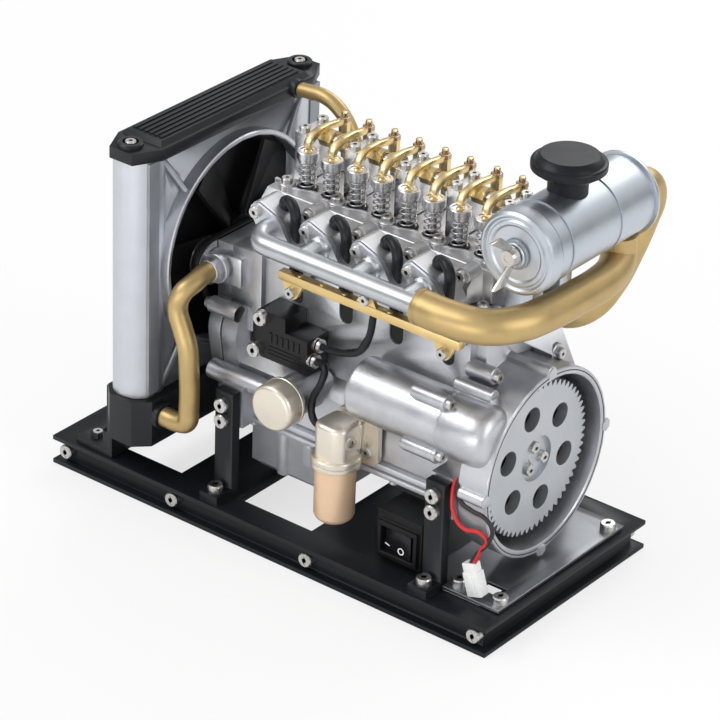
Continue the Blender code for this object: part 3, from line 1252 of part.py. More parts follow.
def air_cleaner():
    """The canister on two posts, with its lid, inlet neck and rain cap."""
    r, step = CAN_RADIUS, CAN_STEP
    rear = CAN_LONG
    profile = [(0, r * 0.86), (step, r), (CAN_LID, r + step), (CAN_LID, r - CAN_GROOVE),
               (rear - CAN_LID / 2, r - CAN_GROOVE), (rear - CAN_LID / 2, r + step), (rear - step,
                                                                                      r), (rear, r * 0.9)]
    shapes = [lathe(profile, (CAN_X, CAN_FRONT, CAN_Z), (0, 1, 0), 22)]
    for y in CAN_POST_Y:
        shapes.append(box(about(CAN_POST_X, CAN_POST_WIDE / 2), about(y, CAN_POST_WIDE / 2),
                          (LEDGE_Z + GAP, CAN_Z - r * 0.6)))
    shapes.append(rod(CAN_INLET, (CAN_INLET[0], CAN_INLET[1], CAN_Z - r * 0.7), CAN_NECK, 12))
    neck = CAN_Z + r * 0.9
    brim = CAP_TOP - neck - CAP_TALL
    cap = [(0, CAP_NECK), (brim, CAP_NECK), (brim, CAP_RADIUS * 0.8), (brim + CAP_TALL * 0.3, CAP_RADIUS),
           (brim + CAP_TALL * 0.6, CAP_RADIUS), (CAP_TOP - neck, CAP_RADIUS * 0.78)]
    shapes.append(lathe(cap, (CAN_X, CAP_Y, neck), (0, 0, 1), 18))
    shapes.append(rod((CAN_X, CAN_FRONT + SINK, CAN_Z), (CAN_X, CAN_FRONT - STUD_LONG, CAN_Z),
                      WING_RADIUS * 1.3, 12))
    make("air_cleaner", finish("silver_can", (0.66, 0.68, 0.70), 0.3, 1.0), shapes)

    front = CAN_FRONT - STUD_LONG - GAP
    shapes = [rod((CAN_X, front, CAN_Z), (CAN_X, front - WING_LONG, CAN_Z), WING_RADIUS, 12,
                  WING_RADIUS * 0.8)]
    for side in (-1, 1):
        root, out = WING_RADIUS * 0.5, WING_SPAN
        outline = [(root, 0), (out, -WING_TALL * 0.4), (out, -WING_TALL), (root * 1.6, -WING_LONG)]
        wing = prism(outline, "Z", about(0, WING_THICK / 2))
        wing.transform(Matrix.Rotation(math.pi / 2 - side * math.pi / 2, 4, "Y"))
        wing.transform(Matrix.Rotation(WING_TURN, 4, "Y"))
        wing.transform(Matrix.Translation((CAN_X, front, CAN_Z)))
        shapes.append(wing)
    make("wing_nut", finish("nickel", (0.70, 0.66, 0.60), 0.25, 1.0), shapes, pivot=(CAN_X, front, CAN_Z))


def fuel_rail():
    """The square rail with three screwed tabs, and the four injector leads above it."""
    half = RAIL_BAR_HALF
    shapes = [box(RAIL_BAR_SPAN, about(RAIL_BAR_Y, half), about(RAIL_BAR_Z, half))]
    wall = BLOCK_FRONT - GAP
    front = RAIL_BAR_Y - half + SINK / 2
    for x, z in TABS:
        outline = ring_points((x, z), TAB_RADIUS, 10)
        outline += [(x - TAB_ROOT, RAIL_BAR_Z), (x + TAB_ROOT, RAIL_BAR_Z)]
        shapes.append(prism(hull(outline), "Y", (front, front + TAB_THICK)))
        shapes.append(rod((x, front + TAB_THICK - SINK / 2, z), (x, wall, z), TAB_RADIUS * 0.6, 8))
        shapes.append(screw((x, front, z), (0, -1, 0), True))
    for x in CYLINDERS:
        shapes += lead_shapes(x)
    make("fuel_rail", brass(), shapes)


def lead_shapes(x):
    """A capped injector lead from the head down behind the rail, with its feed stub on the rail."""
    route = [(x + dx, y, z) for dx, y, z in LEAD_ROUTE]
    seat = PORT_Z + STEM_WIDE + GAP
    boot = BOOT_RADIUS
    top = lathe([(0, boot * 0.8), (boot, boot), (boot * 2, boot * 0.6)],
                (x, route[0][1], route[0][2] - boot * 0.3), (0, 0, 1), 7)
    return [tube(route, LEAD_RADIUS, 6), top,
            rod((x, route[0][1], seat), (x, route[0][1], route[0][2] + SINK), STEM_WIDE, 6),
            rod((x + STUB_SHIFT, RAIL_BAR_Y, RAIL_BAR_Z), (x + STUB_SHIFT, route[-1][1], RAIL_BAR_Z),
                STUB_RADIUS, 6)]


def injection_pump():
    """The black pump box with two fittings and the two small hoses that leave it."""
    wall = BLOCK_FRONT - GAP
    face = PUMP_FRONT
    side = PUMP_OUTLINE[1][0]
    shapes = [prism(PUMP_OUTLINE, "Y", (face, wall))]
    for route in (SMALL_HOSE_ONE, SMALL_HOSE_TWO):
        y, z = route[0][1:]
        shapes.append(rod((side - SINK, y, z), (FITTING_END, y, z), FITTING_RADIUS, 8))
        shapes.append(tube(route, SMALL_HOSE, 6))
    shapes += [screw((x, face, z), (0, -1, 0)) for x, z in PUMP_SCREWS]
    make("injection_pump", finish("black_painted", (0.03, 0.03, 0.033), 0.4, 0.3), shapes)


def filters():
    r = OIL_RADIUS
    profile = [(0, r * 0.86), (r * 0.1, r * 0.97), (r * 0.2, r), (OIL_LONG, r)]
    gold = finish("pale_gold", (0.80, 0.70, 0.52), 0.3, 1.0)
    make("oil_filter", gold, [lathe(profile, (OIL_X, OIL_FACE, OIL_Z), (0, 1, 0), 24)])
    low, high = BOWL_SPAN
    profile = [(low, BOWL_RADIUS * 0.8), (low + BOWL_RADIUS * 0.3, BOWL_RADIUS), (high, BOWL_RADIUS),
               (high, FUEL_RING),
               (high + FUEL_RING_TALL, FUEL_RING), (high + FUEL_RING_TALL, FUEL_HEAD_RADIUS),
               (FUEL_HEAD_TOP - SINK, FUEL_HEAD_RADIUS), (FUEL_HEAD_TOP, FUEL_HEAD_RADIUS * 0.85)]
    wall = -CASE_HALF - GAP
    shapes = [lathe(profile, (FUEL_X, FUEL_Y, 0), (0, 0, 1), 18),
              box(about(FUEL_X, FUEL_HEAD_RADIUS * 0.8), (FUEL_Y, wall - SINK),
                  (high + FUEL_RING_TALL / 2, FUEL_HEAD_TOP - SINK)),
              box(about(FUEL_X + FUEL_FLANGE * 0.4, FUEL_FLANGE), (wall - FUEL_FLANGE_THICK, wall),
                  (high + FUEL_RING_TALL / 2, FUEL_HEAD_TOP - SINK)),
              screw((FUEL_X + FUEL_FLANGE, wall - FUEL_FLANGE_THICK, high + FUEL_RING_TALL), (0, -1, 0)),
              rod((SMALL_HOSE_TWO[-1][0] + GAP, FUEL_Y, SMALL_HOSE_TWO[-1][2]), (FUEL_X, FUEL_Y,
                                                                                 SMALL_HOSE_TWO[-1][2]), SMALL_HOSE * 1.3, 10)]
    make("fuel_filter", gold, shapes)


def motor_lead():
    """The red and black motor wires down to their two-pin plug on the deck."""
    plug = box(about(0, PLUG_WIDE / 2), about(0, PLUG_DEEP / 2), (-PLUG_TALL, 0))
    plug.transform(Matrix.Translation(PLUG_TOP) @ Matrix.Rotation(-PLUG_LEAN, 4, "Y"))
    shapes = [plug] + [tube(route, WIRE_RADIUS, 6) for route in (BLACK_ROUTE, RED_ROUTE)]
    make("motor_lead", finish("white_nylon", (0.85, 0.86, 0.86), 0.5, 0.0), shapes)


def stand_on_origin():
    """Moves every piece so that the middle of the whole footprint is over the origin."""
    bpy.context.view_layer.update()
    corners = [item.matrix_world @ Vector(corner) for item in bpy.data.objects
               for corner in item.bound_box]
    spans = [(min(c[i] for c in corners), max(c[i] for c in corners)) for i in (0, 1)]
    shift = Vector([-sum(span) / 2 for span in spans] + [0])
    for item in bpy.data.objects:
        item.location += shift
    print("shift mm", [round(value * 1000, 3) for value in shift])


def main():
    clear_scene()
    base_frame()
    deck_plate()
    switch_parts()
    radiator()
    shroud_and_fan()
    belt()
    pump_pulley()
    engine_block()
    front_cover()
    crank_and_cam()
    flywheel()
    pinion()
    oil_pan()
    cylinder_head()
    pistons()
    rocker_shaft()
    valve_gear()
    intake_manifold()
    pipes()
    air_cleaner()
    fuel_rail()
    injection_pump()
    filters()
    motor_lead()
    stand_on_origin()
    spring_clearance()


main()
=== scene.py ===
"""Looks of a tabletop four-stroke engine model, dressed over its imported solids.

Sizes are millimetres from the middle of the base's underside, X along the crankshaft
to the flywheel, Y to the rear, Z up; to_frame sets them in the part's own frame.
"""
import math

import bmesh
import bpy
from mathutils import Matrix, Quaternion, Vector


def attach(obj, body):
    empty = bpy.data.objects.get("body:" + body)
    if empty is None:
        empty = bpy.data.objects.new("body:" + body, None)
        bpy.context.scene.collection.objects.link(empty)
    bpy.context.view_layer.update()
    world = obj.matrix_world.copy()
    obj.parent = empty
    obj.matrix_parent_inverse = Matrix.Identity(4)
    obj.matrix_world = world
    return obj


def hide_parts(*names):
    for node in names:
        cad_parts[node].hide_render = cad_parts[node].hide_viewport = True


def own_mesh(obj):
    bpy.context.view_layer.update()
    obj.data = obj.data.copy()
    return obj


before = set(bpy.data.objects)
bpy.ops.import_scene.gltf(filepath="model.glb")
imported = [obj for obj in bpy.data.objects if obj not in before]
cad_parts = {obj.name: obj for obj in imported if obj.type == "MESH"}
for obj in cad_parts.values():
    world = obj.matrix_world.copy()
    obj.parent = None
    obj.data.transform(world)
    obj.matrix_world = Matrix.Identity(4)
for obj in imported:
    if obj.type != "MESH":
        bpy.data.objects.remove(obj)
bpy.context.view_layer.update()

# Camera: a long lens from the front right, at the height the photograph was taken from.
camera = bpy.data.cameras.new("studio_camera")
camera.lens = 187.3
camera.sensor_width = 36
camera.clip_end = 20
viewer = bpy.data.objects.new("studio_camera", camera)
viewer.location = (0.71548, -0.932646, 0.70853)
viewer.rotation_mode = "QUATERNION"
viewer.rotation_quaternion = Quaternion((0.8104, 0.4843, 0.1544, 0.2912)).normalized()
bpy.context.scene.collection.objects.link(viewer)
bpy.context.scene.camera = viewer
bpy.context.scene.view_settings.view_transform = "Standard"


# Base frame: black anodised rails round an open middle with two cross plates, and four
# folded legs. The legs are held to the crankcase and to the rails by steel cap screws.
mm = 0.001
base_middle = Vector((-1.65, -2.7256, 0))
to_frame = Matrix.Scale(mm, 4) @ Matrix.Translation(base_middle)


class Signal:
    """A socket in a finish's node tree. Sums and products written on it add Math nodes."""

    def __init__(self, tree, socket):
        self.tree, self.socket = tree, socket

    def node(self, kind, settings, sockets, output=0):
        """A new node of that kind; a socket takes a plain value or another signal."""
        made = self.tree.nodes.new(kind)
        for key, value in settings.items():
            setattr(made, key, value)
        for key, value in sockets.items():
            if isinstance(value, Signal):
                self.tree.links.new(value.socket, made.inputs[key])
            else:
                made.inputs[key].default_value = value
        return Signal(self.tree, made.outputs[output])

    def maths(self, operation, first, second):
        return self.node("ShaderNodeMath", {"operation": operation}, {0: first, 1: second})

    def __add__(self, other):
        return self.maths("ADD", self, other)

    def __mul__(self, other):
        return self.maths("MULTIPLY", self, other)

    def ramp(self, low, high):
        """0 below low, 1 above high."""
        return self.node("ShaderNodeMapRange", {}, {"Value": self, "From Min": low, "From Max": high})

    def noise(self, size, stretch=(1, 1, 1), detail=3.0):
        """Cloudy values about 0.5, with features of that size in mm, longer where stretch is small."""
        placed = self.node("ShaderNodeMapping", {}, {"Vector": self, "Scale": stretch})
        return placed.node("ShaderNodeTexNoise", {}, {"Vector": placed, "Scale": 1 / (size * mm),
                                                      "Detail": detail})

    def between(self, dark, light):
        """A colour from dark to light by this value."""
        return self.node("ShaderNodeMix", {"data_type": "RGBA"},
                         {"Factor": self, 6: (*dark, 1), 7: (*light, 1)}, output=2)


def finish(name, colour, metallic, roughness, grain=0.25, stretch=(1, 1, 1), rise=0.02, spread=0.10,
           tone=0.12, shine=0.5):
    """A surface with cloudy patches in its tone, an uneven gloss and a fine raised grain."""
    patch = 9.0
    made = bpy.data.materials.new(name)
    made.use_nodes = True
    tree = made.node_tree
    shader = tree.nodes["Principled BSDF"]
    place = Signal(tree, tree.nodes.new("ShaderNodeTexCoord").outputs["Object"])
    cloud = place.noise(patch).ramp(0.3, 0.7)
    fine = place.noise(grain, stretch, 4.0)
    mixed = cloud * 0.6 + fine * 0.4
    tint = mixed.between([c * (1 - tone) for c in colour], [min(1, c * (1 + tone)) for c in colour])
    gloss = fine * spread + cloud * spread * 0.5 + (roughness - spread * 0.75)
    bump = place.node("ShaderNodeBump", {}, {"Height": fine, "Strength": 0.6, "Distance": rise * mm})
    tree.links.new(tint.socket, shader.inputs["Base Color"])
    tree.links.new(gloss.socket, shader.inputs["Roughness"])
    tree.links.new(bump.socket, shader.inputs["Normal"])
    shader.inputs["Metallic"].default_value = metallic
    shader.inputs["Specular IOR Level"].default_value = shine
    return made


black_anodised = finish("black_anodised", (0.009, 0.011, 0.014), 0.1, 0.36, grain=0.12, rise=0.008,
                        shine=0.28)
screw_steel = finish("screw_steel", (0.60, 0.59, 0.57), 1.0, 0.30, grain=0.2, rise=0.004)


def gather(*parts):
    """One mesh from several; a pair (mesh, look) sets which of the piece's finishes it has."""
    whole = bmesh.new()
    for part in parts:
        shape, look = part if isinstance(part, tuple) else (part, None)
        if look is not None:
            for face in shape.faces:
                face.material_index = look
        carrier = bpy.data.meshes.new("carrier")
        shape.to_mesh(carrier)
        shape.free()
        whole.from_mesh(carrier)
        bpy.data.meshes.remove(carrier)
    return whole


def moved(shape, matrix):
    """Carries a shape by a matrix and hands it back."""
    bmesh.ops.transform(shape, matrix=matrix, verts=shape.verts)
    return shape


def of_solid(node):
    """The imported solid's own shape, merged into whole faces and read back in millimetres."""
    shape = bmesh.new()
    shape.from_mesh(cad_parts[node].data)
    moved(shape, to_frame.inverted())
    bmesh.ops.remove_doubles(shape, verts=shape.verts, dist=0.0005)
    bmesh.ops.dissolve_limit(shape, angle_limit=math.radians(0.6), verts=shape.verts,
                             edges=shape.edges, delimit={"NORMAL"})
    for face in shape.faces:
        face.material_index = 0
    return shape


def piece(name, shape, finishes, body, stands_for=(), edge=0.0, limit=34):
    """Sets a shape in the part's frame with smooth sides and, where asked, rounded edges."""
    moved(shape, to_frame)
    mesh = bpy.data.meshes.new(name)
    shape.to_mesh(mesh)
    shape.free()
    for look in finishes:
        mesh.materials.append(look)
    mesh.shade_smooth()
    made = bpy.data.objects.new(name, mesh)
    bpy.context.scene.collection.objects.link(made)
    if edge:
        rounded = made.modifiers.new("rounded_edges", "BEVEL")
        rounded.width = edge * mm
        rounded.segments = 2
        rounded.limit_method = "ANGLE"
        rounded.angle_limit = math.radians(limit)
        rounded.harden_normals = True
        rounded.use_clamp_overlap = True
    else:
        mesh.set_sharp_from_angle(angle=math.radians(limit))
    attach(made, body)
    for node in stands_for:
        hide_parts(node)
    return made


def facing(point, axis):
    """The turn and move that carry local Z onto axis at point."""
    turn = Vector((0, 0, 1)).rotation_difference(Vector(axis).normalized())
    return Matrix.Translation(Vector(point)) @ turn.to_matrix().to_4x4()


def turned(point, axis, profile, steps):
    """A profile of (along, radius) spun about an axis through point."""
    shape = bmesh.new()
    line = [shape.verts.new((radius, 0, along)) for along, radius in profile]
    edges = [shape.edges.new(pair) for pair in zip(line, line[1:])]
    bmesh.ops.spin(shape, geom=line + edges, cent=(0, 0, 0), axis=(0, 0, 1), angle=2 * math.pi,
                   steps=steps, use_merge=True)
    bmesh.ops.remove_doubles(shape, verts=shape.verts, dist=0.0002)
    bmesh.ops.recalc_face_normals(shape, faces=shape.faces)
    return moved(shape, facing(point, axis))


def cap_screw(point, axis, radius=2.87, tall=2.7):
    """A socket head cap screw: a knurled side, a rounded crown and a hexagon socket."""
    knurl, notch, socket_share = 30, 0.965, 0.35
    head = turned((0, 0, 0), (0, 0, 1), [(-0.3, radius), (tall * 0.82, radius), (tall, radius * 0.86)],
                  knurl)
    for vert in head.verts:
        place = round(math.atan2(vert.co.y, vert.co.x) / (2 * math.pi) * knurl)
        if place % 2 and vert.co.z < tall * 0.9:
            vert.co.x *= notch
            vert.co.y *= notch
    rim = [edge for edge in head.edges if all(v.co.z > tall * 0.95 for v in edge.verts)]
    socket = bmesh.ops.create_circle(head, segments=6, radius=radius * socket_share)["verts"]
    bmesh.ops.translate(head, vec=(0, 0, tall), verts=socket)
    walls = list({edge for vert in socket for edge in vert.link_edges})
    bmesh.ops.bridge_loops(head, edges=rim + walls)
    sunk = bmesh.ops.extrude_edge_only(head, edges=walls)["geom"]
    low = [item for item in sunk if isinstance(item, bmesh.types.BMVert)]
    bmesh.ops.translate(head, vec=(0, 0, -tall * 0.22), verts=low)
    floor = [item for item in sunk if isinstance(item, bmesh.types.BMEdge)]
    bmesh.ops.contextual_create(head, geom=floor)
    bmesh.ops.recalc_face_normals(head, faces=head.faces)
    return moved(head, facing(point, axis))


up, down = (0, 0, 1), (0, 0, -1)
rightward, leftward, forward, backward = (1, 0, 0), (-1, 0, 0), (0, -1, 0), (0, 1, 0)
leg_places, rail_places = (-26.2, 68.5), (-94.8, -43.2, 19.3, 93.7)
foot_y, foot_top, leg_face, rail_face, rail_middle = 42.1, 14.5, 38, 44.5, 5.75
frame_screws = []
for side in (-1, 1):
    for x in leg_places:
        frame_screws.append(cap_screw((x, side * foot_y, foot_top), up))
        frame_screws += [cap_screw((x, side * leg_face, z), (0, side, 0)) for z in (48.5, 42.1)]
    frame_screws += [cap_screw((x, side * rail_face, rail_middle), (0, side, 0)) for x in rail_places]
piece("frame_rails_and_legs", of_solid("base_frame"), [black_anodised], "engine",
      ["base_frame"], edge=0.35)
piece("frame_screws", gather(*frame_screws), [screw_steel], "engine")


# Deck plate: brushed grey sheet under the flywheel, screwed to the rails, with a slot
# through which the motor wires pass and notches round the two right legs.
brushed_plate = finish("brushed_plate", (0.30, 0.31, 0.33), 1.0, 0.38, grain=0.3, stretch=(0.03, 1, 1),
                       rise=0.006)
deck_top = 13.1
deck_screws = [cap_screw((x, y, deck_top), up)
               for x, y in ((76.8, -32.5), (94.5, -32.5), (94.5, 31.8))]
piece("deck_sheet", of_solid("deck_plate"), [brushed_plate], "engine", ["deck_plate"],
      edge=0.2)
piece("deck_screws", gather(*deck_screws), [screw_steel], "engine")


# Switch: a snap-in rocker switch, its box satin black plastic and its key glossy, with
# the usual line and ring moulded in white for on and off.
satin_plastic = finish("satin_black_plastic", (0.008, 0.008, 0.009), 0.0, 0.42, grain=0.1, rise=0.01,
                       shine=0.2)
gloss_plastic = finish("gloss_black_plastic", (0.010, 0.010, 0.012), 0.0, 0.26, grain=0.4, rise=0.003,
                       shine=0.3)
white_ink = finish("white_marks", (0.85, 0.86, 0.85), 0.0, 0.45, tone=0.03)
piece("switch_box", of_solid("switch_body"), [satin_plastic], "engine", ["switch_body"],
      edge=0.4)


def round_off(shape, edges, by, steps=2):
    """Rounds those edges of a shape."""
    bmesh.ops.bevel(shape, geom=edges, offset=by, segments=steps, profile=0.5, affect="EDGES",
                    material=-1)


def block(x, y, z, round_by=0.0):
    """A square-edged block between those limits, with its edges rounded where asked."""
    shape = bmesh.new()
    bmesh.ops.create_cube(shape, size=1)
    size = [span[1] - span[0] for span in (x, y, z)]
    centre = [(span[0] + span[1]) / 2 for span in (x, y, z)]
    bmesh.ops.scale(shape, vec=size, verts=shape.verts)
    bmesh.ops.translate(shape, vec=centre, verts=shape.verts)
    if round_by:
        round_off(shape, shape.edges[:], round_by)
    return shape


# The marks are drawn flat on X and Z and then carried on to the key's sloping face.
key_angle = -math.radians(8)
on_key = Matrix.Translation((51.7, -34.4, 20.65)) @ Matrix.Rotation(key_angle, 4, "Z")
ring_mark = turned((3.3, -2.66, -1.2), (0.138, -1, 0),
                   [(0, 1.35), (0.12, 1.35), (0.12, 0.95), (0, 0.95)], 32)
line_mark = block((-4.7, -2.1), (-2.75, -2.6), (-1.4, -1.0))
bmesh.ops.rotate(line_mark, cent=(-3.4, -2.6, 0), matrix=Matrix.Rotation(key_angle, 3, "Z"),
                 verts=line_mark.verts)
piece("switch_key", of_solid("switch_rocker"), [gloss_plastic], "switch_key",
      ["switch_rocker"], edge=0.35)
piece("switch_marks", gather(moved(ring_mark, on_key), moved(line_mark, on_key)), [white_ink],
      "switch_key")


# Radiator: two round-fronted aluminium columns with a finned core between them, black
# tanks above and below, and a folded bracket that carries it on the base.
drawn_aluminium = finish("drawn_aluminium", (0.60, 0.62, 0.66), 1.0, 0.40, grain=0.35,
                         stretch=(1, 1, 0.02), rise=0.006, tone=0.06)
fin_sheet = finish("fin_sheet", (0.20, 0.20, 0.21), 0.8, 0.45, grain=0.2, tone=0.15)


def stretched(circles, thick, place, turn):
    """A flat plate whose outline is stretched round the circles (across, high, radius)."""
    plate = bmesh.new()
    for across, high, radius in circles:
        for level in (0, thick):
            ring = bmesh.ops.create_circle(plate, segments=32, radius=radius)["verts"]
            bmesh.ops.translate(plate, vec=(across, high, level), verts=ring)
    for edge in plate.edges[:]:
        plate.edges.remove(edge)
    bmesh.ops.convex_hull(plate, input=plate.verts[:])
    bmesh.ops.dissolve_limit(plate, angle_limit=0.01, verts=plate.verts[:], edges=plate.edges[:])
    moved(plate, Matrix.Translation(place) @ turn)
    bmesh.ops.recalc_face_normals(plate, faces=plate.faces)
    return plate


def small_screw(point, axis):
    """The smaller of the two cap screws that hold most of the model together."""
    return cap_screw(point, axis, 2.1, 2.1)


core_x, core_y = -62.5, -1
column_foot, column_tall = 43.6, 93.6
core = block((core_x - 7.2, core_x + 4.9), (-36, 34), (43.8, 137))
columns = []
for side in (-1, 1):
    y = side * 42.7 + core_y
    round_front = [(core_x + ahead, y - inner, radius)
                   for ahead, radius in ((-1.4, 7.7), (0.8, 7.2)) for inner in (0, side * 3)]
    columns.append((stretched(round_front, column_tall, (0, 0, column_foot), Matrix()), 0))
    column_span = (column_foot, column_foot + column_tall)
    columns.append((block((core_x - 2, core_x + 5.3), (y - 5.4, y + 5.4), column_span), 0))
fins = []
fin_count, fin_pitch, fin_thick = 44, 2.06, 0.5
for k in range(fin_count):
    z = 46 + k * fin_pitch
    fins.append((block((core_x - 7.7, core_x - 6.9), (-34.4, 32.4), (z, z + fin_thick)), 1))
for y in (-22, -10.6, 0.8, 12.2, 23.6):
    fins.append((block((core_x - 7.6, core_x - 6.9), (y - 2.8, y - 1.2), (44.2, 136.8)), 0))
piece("radiator_columns", gather((core, 2), *columns, *fins),
      [drawn_aluminium, fin_sheet, satin_plastic], "engine", ["radiator_core"],
      limit=30)
# The tanks' black is a slightly lighter copy of the base's black anodising: painted light for their lit,
# greyish tops.
tank_black_painted_light = finish("tank_black_painted_light", (0.012, 0.014, 0.017), 0.1, 0.36, grain=0.12, rise=0.01, shine=0.36)
piece("radiator_foot", of_solid("radiator_bottom_tank"), [tank_black_painted_light], "engine",
      ["radiator_bottom_tank"], edge=0.5)
piece("radiator_foot_screws", gather(*[small_screw((-84.3, y, 14.2), up) for y in (-40.5, 42.5)]),
      [screw_steel], "engine")
lugs, lug_profile = [], [(0, 4.6), (1.5, 4.6), (1.9, 4.2), (1.9, 2.9), (0.4, 2.9)]
for side in (-1, 1):
    y = side * 46.45 + core_y
    lugs.append((turned((core_x, y, 141.9), up, lug_profile, 40), 0))
    lugs.append((small_screw((core_x, y, 142), up), 1))
piece("radiator_head", of_solid("radiator_top_tank"), [tank_black_painted_light], "engine",
      ["radiator_top_tank"], edge=0.4)
piece("radiator_head_lugs", gather(*lugs), [tank_black_painted_light, screw_steel], "engine")


# Fan shroud and fan: a silver-grey moulded plate with ribs to its corners and a turned
# collar, and a black six-bladed fan with its own pulley behind it.
grey_moulding = finish("grey_moulding", (0.31, 0.33, 0.36), 0.6, 0.40, grain=0.2, rise=0.012)
fan_z = 92
collar = turned((-56.5, 0, fan_z), rightward,
                [(0, 40.7), (5.3, 40.7), (5.75, 40.3), (5.75, 39.3), (5.3, 38.9), (-0.6, 38.9),
                 (-0.6, 40.7)], 128)
side_plates = [block((-57.2, -54), (y - 2.6, y + 2.6), (45, 137)) for y in (-44.4, 44.4)]
piece("shroud_plate", gather(of_solid("fan_shroud"), (collar, 1), *side_plates),
      [grey_moulding, drawn_aluminium], "engine", ["fan_shroud"], limit=30)
hub = turned((-55.95, 0, fan_z), rightward,
             [(-0.05, 0), (-0.05, 7.6), (1, 9.1), (4.6, 9.1), (5.1, 8.6), (5.1, 0)], 64)
fan_black = finish("fan_black", (0.004, 0.004, 0.005), 0.0, 0.45, grain=0.1, rise=0.01, shine=0.12)
piece("fan_rotor", gather(of_solid("fan"), hub), [fan_black], "fan_wheel", ["fan"],
      limit=30)


# Belt and pulleys: a black rubber belt in the grooves of three pulleys. Those on the water
# pump and on the crankshaft's nose are turned steel with a cap screw, the fan's is black.
belt_rubber = finish("belt_rubber", (0.008, 0.008, 0.009), 0.0, 0.5, grain=0.15, rise=0.02, shine=0.25)
turned_steel = finish("turned_steel", (0.70, 0.70, 0.71), 1.0, 0.28, grain=0.25, rise=0.004)
piece("drive_belt", of_solid("fan_belt"), [belt_rubber], "engine", ["fan_belt"],
      edge=0.3)
belt_x, crank_z, pump_y = -48, 52, -21
pulley_radius, crank_pulley_radius = 8.4, 9.2


def grooved_pulley(y, z, radius):
    """A pulley with a round-sided groove and a dished face."""
    profile = [(-2.3, 0), (-2.3, radius * 0.55), (-1.7, radius * 0.6), (-1.7, radius * 0.8),
               (-2.3, radius * 0.86), (-2.3, radius + 0.05), (-1.8, radius + 0.05),
               (-1.65, radius - 1.65), (1.65, radius - 1.65), (1.8, radius + 0.05),
               (2.3, radius + 0.05), (2.3, 0)]
    return turned((belt_x, y, z), rightward, profile, 64)


def pulley_and_screw(y, z, radius):
    """A steel pulley with the cap screw in its dished face, each with its own finish."""
    return gather((grooved_pulley(y, z, radius), 0),
                  (small_screw((belt_x - 0.7, y, z), leftward), 1))


piece("pump_wheel", pulley_and_screw(pump_y, fan_z, pulley_radius), [turned_steel, screw_steel],
      "pump_wheel", ["pump_pulley"], limit=25)
piece("fan_pulley", grooved_pulley(0, fan_z, pulley_radius), [satin_plastic], "fan_wheel",
      limit=25)
piece("crank_pulley", pulley_and_screw(0, crank_z, crank_pulley_radius), [turned_steel, screw_steel],
      "crank", limit=25)


# Inside the block: crankshaft, camshaft, starter pinion and pistons, turned from steel and
# aluminium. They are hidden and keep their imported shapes, with a finish of their own.
piston_metal = finish("piston_metal", (0.58, 0.58, 0.59), 1.0, 0.32, stretch=(1, 1, 0.05))
for node in ("crankshaft", "camshaft", "motor_pinion", "piston_1", "piston_2", "piston_3", "piston_4"):
    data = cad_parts[node].data
    look = piston_metal if node.startswith("piston") else turned_steel
    for slot_index in range(max(1, len(data.materials))):
        if data.materials:
            data.materials[slot_index] = look
        else:
            data.materials.append(look)


# Engine block: one aluminium casting with crankcase, starter housing, bell and ledge,
# tumbled to a silver satin. Bosses carry cap screws and core plugs close the rear. Black
# pieces of painted shade lie in the bell, in the groove and lug holes of its rim and in the
# front slots, where those hollows are dark only from shadow.
cast_aluminium = finish("cast_aluminium", (0.55, 0.56, 0.59), 0.9, 0.34, grain=0.5, rise=0.12,
                        spread=0.17, tone=0.14)
facing_front = Matrix.Rotation(math.radians(90), 4, "X")
facing_right = Matrix(((0, 0, 1, 0), (1, 0, 0, 0), (0, 1, 0, 0), (0, 0, 0, 1)))
cylinder_pitch = 22.3
cylinders = [-12.7 + cylinder_pitch * k for k in range(4)]
rim_steps, bell_bore, lug_circle = 144, 34.2, 35.5
bell_rim = turned((65.4, 0, crank_z), rightward,
                  [(0.2, 27.6), (0.2, 28.1), (7.4, 33.25), (10.8, 35.38), (22.2, 35.38), (22.65, 34.9),
                   (22.65, 34.5), (22.25, 34.4), (22.25, 33.9), (22.65, 33.75), (22.65, 33.0),
                   (22.3, 32.55), (9.2, 32.55)], rim_steps)
starter_y, starter_z = -27, 71.3
starter = turned((27.45, starter_y, starter_z), rightward,
                 [(0, 0), (0, 10.4), (0.25, 10.9), (0.8, 11.22), (1.4, 11.28), (39.3, 11.28),
                  (39.5, 11.0), (39.7, 11.28), (40.8, 11.55), (47.0, 11.55), (47.2, 11.55),
                  (51.4, 11.55), (53.2, 11.4), (54.6, 11.2), (55.9, 10.8), (57.0, 10.2), (57.8, 9.5),
                  (58.5, 8.6), (58.9, 7.5), (59.1, 6.4), (59.1, 4.2), (59.1, 2), (59.1, 0)], 80)
